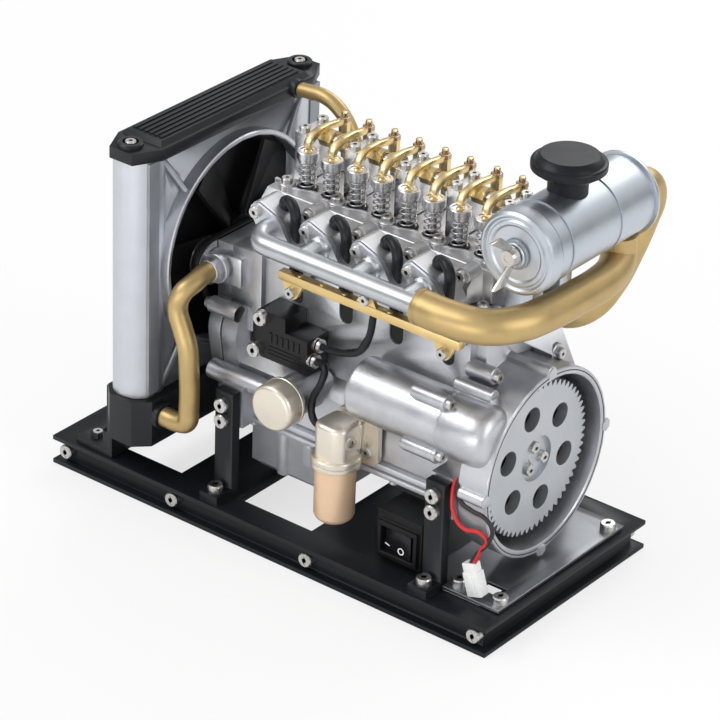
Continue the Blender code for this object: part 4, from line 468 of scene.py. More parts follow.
# The starter's end stays out of the round hollow in which the flywheel turns.
for vert in starter.verts:
    out = math.hypot(vert.co.y, vert.co.z - crank_z)
    if vert.co.x > 74.6 and out < bell_bore:
        vert.co.y *= bell_bore / out
        vert.co.z = crank_z + (vert.co.z - crank_z) * bell_bore / out
block_parts, block_screws, lug_hole_shades = [bell_rim, starter], [], []
rim_lug = [(0, 0), (0.4, 1.7), (1.2, 2.35), (11.2, 2.45), (11.45, 2.2), (11.45, 1.0), (10.4, 0.9),
           (10.4, 0)]
for quarter in range(4):
    turn = quarter * math.pi / 2
    y, z = lug_circle * math.cos(turn), crank_z + lug_circle * math.sin(turn)
    block_parts.append(turned((76.6, y, z), rightward, rim_lug, 28))
    # Each lug hole is a black dot of painted shade on the lug's face.
    lug_hole_shades.append(turned((87.85, y, z), rightward, [(0, 0), (0, 1.0), (0.25, 0.95), (0.25, 0)], 20))
for start, end, y, z in ((54, 68.4, -33.2, 82.3), (51, 66, -33.8, 61)):
    long = end - start
    clamp = [(-1, 0), (-0.8, 1.4), (0, 2.4), (1.2, 2.75), (long - 1.5, 2.75), (long - 1.3, 2.5),
             (long - 1.1, 2.95), (long, 2.95), (long + 0.1, 2.85), (long + 0.1, 0)]
    block_parts.append(turned((start, y, z), rightward, clamp, 28))
    ear = [(y, z, 2.75), ((y + 3 * starter_y) / 4, (z + 3 * starter_z) / 4, 4)]
    block_parts.append(stretched(ear, 1.6, (end - 1.4, 0, 0), facing_right))
    block_screws.append(small_screw((end + 0.1, y, z), rightward))
bosses = ((63, 17, -22, 84.2, 2.6), (64, 12.1, -16.5, 88.6, 3.1), (70, 9.6, 15.2, 86.4, 3.3))
for x, long, y, z, radius in bosses:
    boss = [(0, 0), (0.2, radius * 0.6), (1.2, radius), (long - 0.3, radius), (long, radius - 0.3),
            (long, 0)]
    block_parts.append(turned((x, y, z), rightward, boss, 32))
block_parts.append(block((63.6, 80.5), (-24.2, -19.6), (74, 84.2), 0.8))
block_screws += [small_screw(place, rightward) for place in ((76.1, -16.5, 88.6), (79.6, 15.2, 86.4))]
core_plug = [(0, 4.6), (0.7, 4.6), (0.95, 4.3), (0.95, 3.8), (0.4, 3.5), (0.4, 0)]
block_parts += [turned((x, 22.8, 77.5), backward, core_plug, 40) for x in cylinders]
# Painted shade: a black disc on the bell's floor behind the flywheel, a black ring in the rim's groove
# for the shadow of its step, and black plates in the front slots.
painted_shade_black = finish("painted_shade_black", (0.010, 0.010, 0.011), 0.0, 0.7, grain=0.3)
painted_shade_marks = [turned((74.7, 0, crank_z), rightward, [(0, 0), (0, 32.6), (0.3, 32.6), (0.3, 0)], 72),
           turned((87.9, 0, crank_z), rightward, [(0, 34.3), (0.17, 34.3), (0.17, 33.95), (0, 33.95)],
                  rim_steps), *lug_hole_shades]
for x in cylinders:
    slot = [(x + 2.2, z, 2.9) for z in (89.5, 98.5)]
    painted_shade_marks.append(stretched(slot, 0.3, (0, -16.9, 0), facing_front))
# The solid's shoulder over the bell is set back behind the two blocks that are added here.
shoulder_x, set_back_x = 83, 70
casting = of_solid("engine_block")
for vert in casting.verts:
    if abs(vert.co.x - shoulder_x) < 0.3 and vert.co.z > 80:
        vert.co.x = set_back_x
block_parts.append(block((64.5, 80.5), (-10.5, 21.2), (100.5, 105.1), 0.6))
corner_lug_top = 111.7
block_parts.append(block((62.5, 72.2), (-18, -9.4), (105.4, corner_lug_top), 0.8))
block_screws.append(small_screw((68.2, -15.3, corner_lug_top), up))
piece("block_casting", casting, [cast_aluminium], "engine", ["engine_block"], edge=0.9)
piece("bell_and_starter", gather(*block_parts), [cast_aluminium], "engine", limit=30)
piece("block_screws", gather(*block_screws), [screw_steel], "engine")
piece("bell_and_slot_painted_shade", gather(*painted_shade_marks), [painted_shade_black], "engine")


# Front cover: a cast aluminium cover over the timing gears, with a belly in two steps.
# Three bosses carry its cap screws, and a turned outlet takes the lower coolant pipe.
outlet_x, outlet_z = -41.5, 93
outlet = [(0, 4.8), (4.6, 4.6), (4.6, 5.5), (4.9, 5.8), (6.2, 5.8), (6.5, 5.5), (6.5, 3.3), (8.4, 3.3),
          (8.6, 4.1), (9.4, 4.1), (9.6, 3.6)]
cover_parts = [turned((outlet_x, -20, outlet_z), forward, outlet, 40),
               block((-40.5, -31.5), (-23.4, -16), (86.5, 98.5), 1.2)]
for start, thick, grow in ((-44.6, 6.3, 0), (-38.1, 7.6, 0.5)):
    rounds = [(-14, 68.2, 12.4 + grow), (-6, 57, 18.3 + grow)]
    belly = stretched(rounds, thick, (start, 0, 0), facing_right)
    round_off(belly, [e for e in belly.edges if max(v.co.x for v in e.verts) < start + 0.1], 1.2, 3)
    cover_parts.append(belly)
for y, z, start, long in ((-25.2, 78, -43.4, 13), (-14.6, 97.2, -40.2, 8), (26, 62, -43, 12)):
    cover_parts.append(turned((start, y, z), rightward, [(0, 0), (0, 2.7), (0.4, 3.1), (long, 3.1)], 32))
    cover_parts.append(small_screw((start, y, z), leftward))
cover_parts.append(turned((-41.6, -27.4, 53.6), rightward,
                          [(0, 0), (0.1, 2.4), (1.0, 3.8), (27, 3.9)], 32))
piece("cover_fittings", gather(*cover_parts), [cast_aluminium], "engine", limit=30)
piece("timing_cover", of_solid("front_cover"), [cast_aluminium], "engine",
      ["front_cover"], edge=0.9)


# Oil pan: a smooth cast aluminium pan under the crankcase. Two flanges run along its
# front, with small bolt heads under them, and two half-round pillars stand below.
sump_ribs = [block((-28.6, 62), (-25.0, -17), (36.3, 38.2), 0.35),
             block((-30.4, 64), (-24.7, -17), (38.9, 41.2), 0.35)]
for x in (-13.8, 9):
    sump_ribs.append(turned((x, -18.2, 15.4), up, [(0, 0), (0, 1.2), (1, 2.6), (21, 2.6)], 32))
sump_ribs.append(stretched([(-2.4, 25.4, 2.1), (-2.4, 34, 2.1)], 0.5, (0, -18.8, 0), facing_front))
for x in (-24, 2, 24, 40, 56):
    sump_ribs.append(turned((x, -23.6, 35.6), down, [(-1, 1.7), (0.2, 1.7), (0.4, 1.5), (0.4, 0)], 16))
# Painted light: the pan's finish is a lighter, less metallic copy of the cast aluminium, so the sump
# shows as brightly lit from the low front.
pan_metal_painted_light = finish("pan_metal_painted_light", (0.62, 0.64, 0.68), 0.45, 0.34, grain=0.4, rise=0.08, spread=0.16)
piece("sump", of_solid("oil_pan"), [pan_metal_painted_light], "engine", ["oil_pan"], edge=1.4)
piece("sump_ribs", gather(*sump_ribs), [pan_metal_painted_light], "engine", limit=30)


# Flywheel: a grey machined disc with sixty ring-gear teeth, six lightening holes and
# three cap screws in its recess. It is bolted to the crankshaft's flange.
flywheel_grey = finish("flywheel_grey", (0.54, 0.57, 0.60), 0.85, 0.42, grain=0.3, rise=0.03, tone=0.06)


def thicken(sheet, by):
    """Gives a flat sheet its thickness."""
    lifted = bmesh.ops.extrude_face_region(sheet, geom=sheet.faces[:])["geom"]
    bmesh.ops.translate(sheet, vec=by, verts=[v for v in lifted if isinstance(v, bmesh.types.BMVert)])
    bmesh.ops.recalc_face_normals(sheet, faces=sheet.faces)


disc = bmesh.new()
tooth = (1, 0.994, 0.97, 0.945, 0.925, 0.945, 0.97, 0.994)
rim_points = 60 * len(tooth)
rim = bmesh.ops.create_circle(disc, segments=rim_points, radius=29.15)["verts"]
for vert in rim:
    step = round(math.atan2(vert.co.y, vert.co.x) / (2 * math.pi) * rim_points) % len(tooth)
    vert.co *= tooth[step]
bmesh.ops.create_circle(disc, segments=64, radius=8.6)
fly_x, fly_turn, hole_circle, screw_circle = 79.4, math.radians(-17), 17.6, 4.8
for k in range(6):
    turn = fly_turn + 2 * math.pi * k / 6
    ring = bmesh.ops.create_circle(disc, segments=40, radius=4.6)["verts"]
    place = (hole_circle * math.cos(turn), hole_circle * math.sin(turn), 0)
    bmesh.ops.translate(disc, vec=place, verts=ring)
bmesh.ops.triangle_fill(disc, use_beauty=True, edges=disc.edges[:])
bmesh.ops.dissolve_limit(disc, angle_limit=0.01, verts=[], edges=disc.edges[:])
thicken(disc, (0, 0, 4.2))
moved(disc, Matrix.Translation((fly_x, 0, crank_z)) @ facing_right)
recess = turned((fly_x, 0, crank_z), rightward,
                [(0, 0), (0, 8.7), (2.6, 8.7), (2.6, 2.6), (3.0, 2.2), (3.0, 0)], 64)
fly_screws = []
for third in range(3):
    turn = fly_turn + 2 * math.pi * third / 3
    place = (82.0, screw_circle * math.cos(turn), crank_z + screw_circle * math.sin(turn))
    fly_screws.append((cap_screw(place, rightward, 2.2, 2.2), 1))
piece("flywheel_disc", gather((disc, 0), (recess, 0), *fly_screws), [flywheel_grey, screw_steel],
      "crank", ["flywheel"], limit=30)


# Cylinder head: a cast head with a polished deck, a wavy raised lip, four inlet ports on
# its front, and cap screws between the cylinders and at both ends.
polished_deck = finish("polished_deck", (0.58, 0.58, 0.59), 0.85, 0.42, grain=0.4, rise=0.05, tone=0.14)
pedestals = [-23.85 + cylinder_pitch * k for k in range(5)]
valves = [c + side * 5.4 for c in cylinders for side in (-1, 1)]
lip = bmesh.new()
lip_line = []
wave, lip_wide, lip_tall = 2.9, 1.3, 2.3
for k in range(181):
    x = -30.5 + k * 0.525
    near = sum(math.exp(-((x - v) / wave) ** 2) for v in valves)
    post = sum(math.exp(-((x - p) / wave) ** 2) for p in pedestals)
    lip_line.append((x, -7.1 - 1.9 * near - 4.3 * post))
for low, high in zip(lip_line, lip_line[1:]):
    sides = [(*low, 0), (*high, 0), (high[0], high[1] + lip_wide, 0), (low[0], low[1] + lip_wide, 0)]
    lip.faces.new([lip.verts.new(corner) for corner in sides])
bmesh.ops.remove_doubles(lip, verts=lip.verts, dist=0.01)
thicken(lip, (0, 0, lip_tall))
bmesh.ops.translate(lip, vec=(0, 0, 123.3), verts=lip.verts)
bolt_out, bolt_high = 6.2, 5.2
port_shift, port_z, stub_shift, stub_z = 0.9, 120.5, 7.4, 123.3


def flange(x, y, middle, ends, thick):
    """A two-bolt flange: a round middle stretched on a slant to a smaller round at each bolt."""
    circles = [(0, 0, middle), (-bolt_out, bolt_high, ends), (bolt_out, -bolt_high, ends)]
    return stretched(circles, thick, (x + port_shift, y, port_z), facing_front)


ports = [flange(x, -19.6, 5.9, 3.3, 10) for x in cylinders]
ports += [turned((x + stub_shift, -12, stub_z), forward,
                 [(0, 0), (0, 3.0), (6.6, 3.0), (6.9, 2.7), (6.9, 0)], 32) for x in cylinders]
piece("inlet_ports", gather(*ports), [polished_deck], "engine", edge=0.4)
piece("head_lip", lip, [polished_deck], "engine", limit=40, edge=0.3)
# The solid's right front corner is cut back, and its deck in front of the lip is lowered.
head = of_solid("cylinder_head")
corner_y, lip_front, deck_low = -11.5, -13, 123.4
for x in (62.9, 64.9):
    everything = head.verts[:] + head.edges[:] + head.faces[:]
    bmesh.ops.bisect_plane(head, geom=everything, plane_co=(x, 0, 0), plane_no=rightward)
for vert in head.verts:
    if vert.co.x > 64 and vert.co.y < corner_y:
        vert.co.y = corner_y
    if vert.co.y < lip_front and vert.co.z > deck_low + 1:
        vert.co.z = deck_low
piece("head_casting", head, [polished_deck], "engine", ["cylinder_head"], edge=0.4)
head_screw_y = -8.2
head_screws = [small_screw((x, head_screw_y, 126.2), up) for x in pedestals]
head_bosses = [turned((x, head_screw_y, 123.6), up, [(0, 2.9), (2.4, 2.9), (2.7, 2.6), (2.7, 0)], 32)
               for x in pedestals]
piece("head_screws", gather(*[(s, 0) for s in head_screws], *[(s, 1) for s in head_bosses]),
      [screw_steel, polished_deck], "engine", limit=30)


# Valve gear: brass rocker arms on a steel shaft with five pedestals. Each has a lock-nutted
# adjuster at the rear, over a pushrod, and bears on a spring retainer at the front.
rocker_brass = finish("rocker_brass", (0.80, 0.63, 0.33), 1.0, 0.28, grain=0.3, rise=0.006)
bronze_nut = finish("bronze_nut", (0.46, 0.34, 0.25), 1.0, 0.26, grain=0.3, rise=0.006)
spring_steel = finish("spring_steel", (0.52, 0.52, 0.53), 1.0, 0.28, grain=0.2, rise=0.003)
seal_rubber = finish("seal_rubber", (0.012, 0.012, 0.013), 0.0, 0.5, grain=0.15, rise=0.01)
piece("shaft_and_pedestals", of_solid("rocker_shaft"), [turned_steel], "engine",
      ["rocker_shaft"], edge=0.3)
pedestal_screws = [small_screw((x, y, 143), up) for x in pedestals for y in (1.2, 11.0)]
piece("pedestal_screws", gather(*pedestal_screws), [screw_steel], "engine", limit=30)


def wire(points, radius, sides, soft=True):
    """A round bar along a smooth curve through those points, or straight between them if not soft."""
    curve = bpy.data.curves.new("wire", "CURVE")
    curve.dimensions = "3D"
    curve.bevel_depth = radius
    curve.bevel_resolution = max(0, sides // 2 - 2)
    curve.use_fill_caps = True
    curve.resolution_u = 6
    line = curve.splines.new("BEZIER" if soft else "POLY")
    if soft:
        line.bezier_points.add(len(points) - 1)
        for spot, place in zip(line.bezier_points, points):
            spot.co = place
            spot.handle_left_type = spot.handle_right_type = "AUTO"
    else:
        line.points.add(len(points) - 1)
        for spot, place in zip(line.points, points):
            spot.co = (*place, 1)
    holder = bpy.data.objects.new("wire", curve)
    bpy.context.scene.collection.objects.link(holder)
    bpy.context.view_layer.update()
    mesh = bpy.data.meshes.new_from_object(holder.evaluated_get(bpy.context.evaluated_depsgraph_get()))
    shape = bmesh.new()
    shape.from_mesh(mesh)
    bmesh.ops.remove_doubles(shape, verts=shape.verts, dist=0.0005)
    bmesh.ops.recalc_face_normals(shape, faces=shape.faces)
    bpy.data.objects.remove(holder)
    bpy.data.curves.remove(curve)
    bpy.data.meshes.remove(mesh)
    return shape


spring_low, spring_high, spring_inset = 124.3, 135.2, 0.45
coil_radius, turns, steps = 2.9, 5, 28
valve_y, pushrod_y = -4, 16.2
retainer_profile = [(135.3, 0.8), (135.3, 3.5), (136.3, 3.5), (136.4, 4.0), (139.0, 4.0), (139.2, 3.8),
                    (139.2, 3.0), (138.9, 2.9), (138.9, 1.5)]
stem_profile = [(1.8, 0), (1.8, 2.6), (2.7, 2.6), (3.2, 0.8), (13.9, 0.8), (14.4, 1.5), (20, 1.5),
                (20.4, 1.1), (24, 1.1), (24, 0)]
adjuster_profile = [(0, 0), (0.1, 0.9), (0.7, 1.25), (10.4, 1.25), (10.9, 0.95), (10.9, 0)]
for number, x in enumerate(valves, 1):
    coil = []
    for k in range(turns * steps + 1):
        share = k / (turns * steps)
        eased = share - 0.035 * math.sin(2 * math.pi * share)
        turn = 2 * math.pi * turns * share
        coil.append((x + coil_radius * math.cos(turn), valve_y + coil_radius * math.sin(turn),
                     spring_low + spring_inset + (spring_high - spring_low - 2 * spring_inset) * eased))
    made = piece(f"spring_coil_{number}", wire(coil, 0.31, 8, soft=False), [spring_steel], "engine",
                 [f"valve_spring_{number}"], limit=60)
    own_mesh(made)
    retainer = turned((x, valve_y, 0), up, retainer_profile, 48)
    tip = turned((x, valve_y, 138.2), up, [(0, 1.6), (0.9, 1.6), (1.3, 1.1), (1.3, 0)], 24)
    stem = turned((x, valve_y, 112), up, stem_profile, 20)
    piece(f"valve_and_retainer_{number}", gather((retainer, 0), (tip, 1), (stem, 0)),
          [turned_steel, rocker_brass], f"valve_body_{number}", [f"valve_{number}"],
          limit=28)
    adjuster = turned((x, pushrod_y, 136.2), up, adjuster_profile, 20)
    nut = bmesh.new()
    bmesh.ops.create_cone(nut, cap_ends=True, segments=6, radius1=2.2, radius2=2.2, depth=1.9)
    round_off(nut, [e for e in nut.edges if abs(e.verts[0].co.z - e.verts[1].co.z) < 0.1], 0.2, 1)
    bmesh.ops.translate(nut, vec=(x, pushrod_y, 144.3), verts=nut.verts)
    # The arm's front end, over the valve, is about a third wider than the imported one.
    arm = of_solid(f"rocker_{number}")
    front = [vert for vert in arm.verts if vert.co.y < 2]
    middle = sum(vert.co.x for vert in front) / len(front)
    for vert in front:
        vert.co.x = middle + (vert.co.x - middle) * 1.35
    piece(f"rocker_arm_{number}", arm, [rocker_brass], f"rocker_arm_{number}",
          [f"rocker_{number}"], edge=0.3)
    piece(f"adjuster_{number}", gather((adjuster, 0), (nut, 0)), [bronze_nut], f"rocker_arm_{number}",
          limit=25)
seal = [(0, 2.1), (0, 3.7), (0.5, 4.0), (1.0, 3.7), (1.1, 2.1), (0, 2.1)]
pushrod = [(0, 0), (0, 1.1), (17.2, 1.1), (17.6, 1.5), (18.1, 1.2), (18.1, 0)]
seals = [turned((x, valve_y, 124.05), up, seal, 40) for x in valves]
pushrods = [turned((x, pushrod_y, 118), up, pushrod, 20) for x in valves]
piece("spring_seals", gather(*seals), [seal_rubber], "engine", limit=40)
piece("pushrods", gather(*pushrods), [turned_steel], "engine", limit=40)


# Inlet manifold: a drawn steel log pipe with four runners, each brazed to a two-bolt
# flange that sits on a gasket plate and is held by two cap screws.
log_steel = finish("log_steel", (0.54, 0.56, 0.58), 1.0, 0.33, grain=0.3, stretch=(0.03, 1, 1),
                   rise=0.004)
log_end, log_y, log_z = 60.3, -41, 120
first = cylinders[0]
log = [(log_end, log_y, log_z), (30, log_y, log_z), (5, log_y, log_z), (first + 9, log_y, log_z),
       (first + 4.5, -40.3, log_z), (first + 1.3, -37.4, 120.2), (first, -34, 120.4),
       (first, -31, port_z)]
log_parts = [(wire(log, 3.85, 32), 0)]
runner = [(0, 3.9), (7.8, 3.9), (8.4, 4.6), (9.4, 4.9)]
for x in cylinders:
    if x != first:
        log_parts.append((turned((x, log_y, log_z), (0, 1, 0.04), runner, 32), 0))
    for y, grow in ((-29.5, 0.15), (-30.8, -0.15)):
        log_parts.append((flange(x, y, 5.8 + grow, 3.1 + grow, 1.1), 1))
    for side in (-1, 1):
        place = (x + port_shift + side * bolt_out, -31.8, port_z - side * bolt_high)
        log_parts.append((cap_screw(place, forward, 2.25, 2.0), 2))
    log_parts.append((cap_screw((x + stub_shift, -18.8, stub_z), forward, 2.25, 2.0), 2))
piece("inlet_log", gather(*log_parts), [log_steel, drawn_aluminium, screw_steel], "engine",
      ["intake_manifold"], limit=30)


# Gold pipes: bent tube painted gold, from the log up under the air cleaner, from the rear
# gallery over to its back, and the two coolant pipes of the radiator.
gold_paint = finish("gold_paint", (0.53, 0.385, 0.175), 0.85, 0.42, grain=0.08, rise=0.02, tone=0.12)
intake_route = [(log_end, log_y, log_z), (74, log_y, log_z), (85.5, -38, log_z), (92.5, -29, log_z),
                (95.3, -17, log_z), (96.2, -1, log_z), (96, 15, log_z), (94.5, 23.8, 120.7),
                (92.8, 28.2, 122.6), (92, 29.5, 124.8), (92, 29.5, 126.6), (92, 29.5, 131.5)]
air_route = [(69.8, 28, 95.7), (71.8, 28, 95.7), (73.8, 28, 95.7), (79.8, 32, 99), (84, 37, 107),
             (86.8, 42, 118), (88, 48, 129), (88, 52, 136.5), (88, 49.5, 141.2), (88, 44, 142.5),
             (88, 39.2, 142.5)]
upper_route = [(-49.7, 30.5, 140.8), (-45, 30.5, 141.2), (-39, 30.5, 141.4), (-33, 30.5, 139.3),
               (-27.8, 30.5, 134.5), (-24.5, 30.1, 129.2), (-23.1, 30, 126), (-23, 30, 123.4)]
lower_route = [(outlet_x, -29, outlet_z), (outlet_x, -31.5, outlet_z), (-42, -36.5, 91.2),
               (-43.8, -40.8, 88), (-45, -42, 82), (-42.2, -42.5, 75), (-39.5, -43, 69),
               (-38.5, -43, 59), (-38.4, -43, 44), (-39.2, -43, 38.2), (-43, -43, 36.6),
               (-49.7, -43, 36.5)]
collar_ring = turned((60.0, log_y, log_z), rightward, [(0, 3.8), (0, 5.9), (0.8, 6.45), (2.2, 6.45)], 64)
big_bore = 6.32
piece("intake_elbow", gather(wire(intake_route, big_bore, 40), collar_ring), [gold_paint], "engine",
      ["intake_pipe"], limit=40)
piece("air_elbow", wire(air_route, big_bore, 40), [gold_paint], "engine", ["air_pipe"],
      limit=40)
piece("upper_coolant_pipe", wire(upper_route, 2.72, 28), [gold_paint], "engine",
      ["upper_hose"], limit=40)
piece("lower_coolant_pipe", wire(lower_route, 3.72, 32), [gold_paint], "engine",
      ["lower_hose"], limit=40)


# Air cleaner: a spun aluminium can on two posts, with a stepped lid held by a wing nut and
# a black rain cap on its neck.
spun_can = finish("spun_can", (0.56, 0.60, 0.65), 1.0, 0.38, grain=0.4, stretch=(1, 0.02, 1),
                  rise=0.006, tone=0.05)
cap_black = finish("cap_black", (0.008, 0.009, 0.012), 0.0, 0.36, grain=0.2, rise=0.006, shine=0.25)
can_x, can_z = 88, 143.4
can_profile = [(0.9, 4.0), (0.9, 9.6), (0.4, 10.4), (0.4, 11.4), (1.0, 12.0), (1.0, 12.6), (0.15, 13.3),
               (0.15, 13.9), (0.9, 14.8), (2.0, 15.1), (5.3, 15.3), (6.05, 15.3), (6.25, 14.9),
               (6.4, 14.0), (7.6, 14.0), (7.7, 14.25), (13.0, 14.25), (13.1, 14.0), (13.3, 14.0),
               (13.4, 14.65), (14.3, 14.65), (14.5, 14.25), (40.8, 14.25), (40.9, 14.0), (41.1, 14.0),
               (41.2, 14.65), (42.0, 14.65), (42.2, 14.25), (60.2, 14.25), (60.4, 14.0), (61.0, 14.0),
               (61.2, 15.3), (62.2, 15.3), (63.6, 14.4), (64.5, 13.0), (64.5, 0)]
can = turned((can_x, -26.5, can_z), backward, can_profile, 128)
stud = turned((can_x, -26.4, can_z), forward, [(0, 4.5), (0.9, 4.5), (1.1, 4.2), (1.1, 2.0)], 48)
rain_cap = turned((can_x, 2, 156), up,
                  [(0, 7.0), (7.0, 7.0), (7.1, 10.3), (9.1, 13.05), (9.6, 13.15), (11.2, 13.15),
                   (11.7, 12.9), (12.0, 12.0), (12.3, 11.8), (13.9, 10.4), (14.2, 9.8), (14.2, 0)], 96)
washer = turned((can_x, -25.7, can_z), forward, [(0, 5.4), (0.9, 5.4), (1.1, 5.1), (1.1, 1)], 48)
posts = [(block((72.5, 79.5), (y - 3.5, y + 3.5), (105.2, 134.8), 0.4), 0) for y in (-5.5, 17.2)]
piece("air_can", gather(*posts, (can, 0), (stud, 0), (rain_cap, 1), (washer, 2)),
      [spun_can, cap_black, grey_moulding], "engine", ["air_cleaner"], limit=25)


# Wing nut: a nickel-plated nut that turns on the lid's stud. Its wings are drawn out toward
# the front and stand on a slant, as they do in the photograph.
nickel = finish("nickel", (0.58, 0.55, 0.50), 1.0, 0.2, grain=0.3, rise=0.004)
nut_core = turned((can_x, -27.8, can_z), forward,
                  [(0, 1.6), (0, 3.5), (2.0, 3.1), (3.1, 2.75), (3.1, 1.3), (2.2, 1.2), (2.2, 0)], 40)
wing_root, wing_turn = -27.6, math.radians(-47)
wings = of_solid("wing_nut")
for vert in wings.verts:
    out = math.hypot(vert.co.x - can_x, vert.co.z - can_z)
    if out > 4.5:
        vert.co.y = wing_root + (vert.co.y - wing_root) * 2.3 - 0.2 * out
bmesh.ops.rotate(wings, cent=(can_x, 0, can_z), matrix=Matrix.Rotation(wing_turn, 3, "Y"),
                 verts=wings.verts)
piece("wing_nut_body", wings, [nickel], "wing", ["wing_nut"], edge=0.45)
piece("wing_nut_core", nut_core, [nickel], "wing", limit=30)


# Fuel side: a square brass rail on three screwed tabs, four capped black rubber leads from
# the injectors, and a black pump with ringed fittings and two small hoses.
lead_rubber = finish("lead_rubber", (0.009, 0.011, 0.014), 0.0, 0.38, grain=0.2, rise=0.006, shine=0.3)
rail_gold = finish("rail_gold", (0.78, 0.58, 0.26), 0.9, 0.36, grain=0.25, rise=0.01)
rail_z = 102.7
rail_parts = [(block((-10, 69), (-29.2, -25.8), (101, 104.4), 0.25), 0)]
for x, z in ((-3.9, 97.8), (28.8, 106.6), (62.6, 98.0)):
    tab = [(0, z - rail_z, 2.75), (-5.0, 0, 0.3), (5.0, 0, 0.3)]
    rail_parts.append((stretched(tab, 1.5, (x, -27.4, rail_z), facing_front), 0))
    rail_parts.append((turned((x, -27.5, z), backward, [(0, 1.7), (9.1, 1.7), (9.1, 0)], 24), 1))
    rail_parts.append((small_screw((x, -28.8, z), forward), 1))
stub = [(0, 1.15), (0.5, 1.05), (0.75, 0.5), (0.75, 0)]
rail_parts += [(turned((-1.5 + k * 9.9, -27.5, 104.2), up, stub, 16), 0) for k in range(7)]
lead_route = [(1.6, -24, 125.5), (1.7, -24.1, 128.2), (3.4, -24.9, 129.6), (6.2, -26.2, 129.2),
              (8.2, -27.2, 126.8), (8.5, -27.4, 122.5), (8.2, -27.4, 117), (7.6, -26.4, 111.5),
              (5.8, -22.9, 106.5), (3.6, -20.9, 103), (2.6, -20.6, 99)]
boot = [(0, 1.6), (0.4, 2.3), (1.4, 2.7), (2.9, 2.7), (4.1, 2.1), (4.9, 1.0), (5.1, 0)]
for x in cylinders:
    rail_parts.append((wire([(x + across, y, z) for across, y, z in lead_route], 1.95, 20), 2))
    rail_parts.append((turned((x + 1.6, -24, 126), up, boot, 32), 2))
piece("fuel_rail_and_leads", gather(*rail_parts), [rail_gold, screw_steel, lead_rubber], "engine",
      ["fuel_rail"], limit=32)
pump_black = finish("pump_black", (0.006, 0.006, 0.007), 0.0, 0.32, grain=0.25, rise=0.03, shine=0.3)
rail_hose = [(6.4, -25, 78.5), (11, -25.8, 79), (19, -27.2, 81.2), (26.2, -28, 85), (30, -28, 92),
             (31.2, -27.6, 100.5)]
filter_hose = [(6.4, -27.6, 73.5), (10.2, -29, 74.5), (13.4, -31, 74), (13.4, -33, 69.5),
               (10.8, -34, 63), (11, -34.8, 58), (13, -35.3, 55), (15.8, -35.5, 54.3)]
union = [(0, 2.5), (1.0, 2.5), (1.2, 2.1), (1.7, 2.1), (1.9, 2.5), (2.9, 2.5), (3.2, 2.1), (3.2, 1.4)]
pump_parts = []
for route in (rail_hose, filter_hose):
    start_y, start_z = route[0][1:]
    pump_parts.append((wire(route, 1.32, 16), 1))
    pump_parts.append((turned((4.2, start_y, start_z), rightward, union, 32), 2))
for x, z in ((-15.6, 84.3), (-18.2, 70.8)):
    pump_parts.append((cap_screw((x, -30, z), forward), 2))
face = bmesh.new()
face_line = [(-20.2, 68.2), (4.5, 68.2), (4.5, 81.2), (-5.6, 81.2), (-5.6, 86.6), (-18, 86.6),
             (-20.2, 83)]
bmesh.ops.contextual_create(face, geom=[face.verts.new((x, -30, z)) for x, z in face_line])
inner = bmesh.ops.inset_region(face, faces=face.faces[:], thickness=0.9, use_even_offset=True)["faces"]
bmesh.ops.delete(face, geom=[f for f in face.faces if f not in inner], context="FACES_ONLY")
thicken(face, (0, -0.5, 0))
pump_ribs = [face]
for k in range(6):
    x = -12.6 + k * 2.5
    pump_ribs.append(block((x, x + 1.2), (-30.35, -29.8), (75.4, 79.2), 0.15))
for k in range(3):
    z = 70.2 + k * 1.5
    pump_ribs.append(block((-13, 1.6), (-30.3, -29.8), (z, z + 0.7), 0.12))
piece("pump_face", gather(*pump_ribs), [pump_black], "engine", limit=30)
piece("pump_box", of_solid("injection_pump"), [pump_black], "engine", ["injection_pump"],
      edge=0.4)
piece("pump_fittings", gather(*pump_parts), [pump_black, lead_rubber, screw_steel], "engine",
      limit=30)


# Filters: a short spun oil filter on the block's side and a pale gold fuel filter whose
# bowl hangs from a cast head that is screwed to the crankcase.
pale_gold = finish("pale_gold", (0.77, 0.71, 0.61), 0.8, 0.34, grain=0.3, rise=0.006, tone=0.05)
tan_gold = finish("tan_gold", (0.84, 0.60, 0.40), 0.4, 0.38, grain=0.3, rise=0.006, tone=0.05)
oil_can = turned((1.3, -46.2, 60), backward,
                 [(0, 0), (0, 7.2), (0.12, 7.7), (0.5, 8.25), (1.1, 8.65), (1.9, 8.85), (7.4, 8.88),
                  (7.6, 9.1), (8.5, 9.1), (8.5, 0)], 80)
piece("oil_filter_can", oil_can, [pale_gold], "engine", ["oil_filter"], limit=25)
bowl_foot, eye_middle, eye_way = (23, -35.5, 0), (29.6, -36.5, 53.2), (1, -0.35, 0)
bowl = turned(bowl_foot, up, [(20.0, 0), (20.0, 4.6), (20.4, 6.0), (21.3, 6.9), (22.6, 7.4), (42, 7.45)],
              72)
seat = turned(bowl_foot, up,
              [(42, 0), (42, 8.6), (42.3, 8.95), (43.6, 8.95), (43.9, 8.4), (44.2, 8.4), (44.5, 9.0),
               (45.7, 9.0), (46.2, 8.6), (46.2, 0)], 72)
mount_line = [(19.5, 57, 3), (30.4, 55.2, 4.8), (31.8, 44.6, 3.6), (21, 43.6, 3)]
mount = stretched(mount_line, 2.4, (0, -25.2, 0), facing_front)
head_line = [(21.2, -37.8, 4.6), (25.6, -37.8, 4.6), (26.4, -31.5, 3.4), (20.4, -31.5, 3.4)]
filter_head = stretched(head_line, 13.7, (0, 0, 45.8), Matrix())
round_off(filter_head, [e for e in filter_head.edges if min(v.co.z for v in e.verts) > 59], 1.8, 3)
neck = block((18, 30.5), (-31, -26), (47.5, 58.4), 1.5)
eye = turned(eye_middle, eye_way, [(-3, 2.7), (1.0, 2.7), (1.3, 2.4), (1.3, 1.35)], 32)
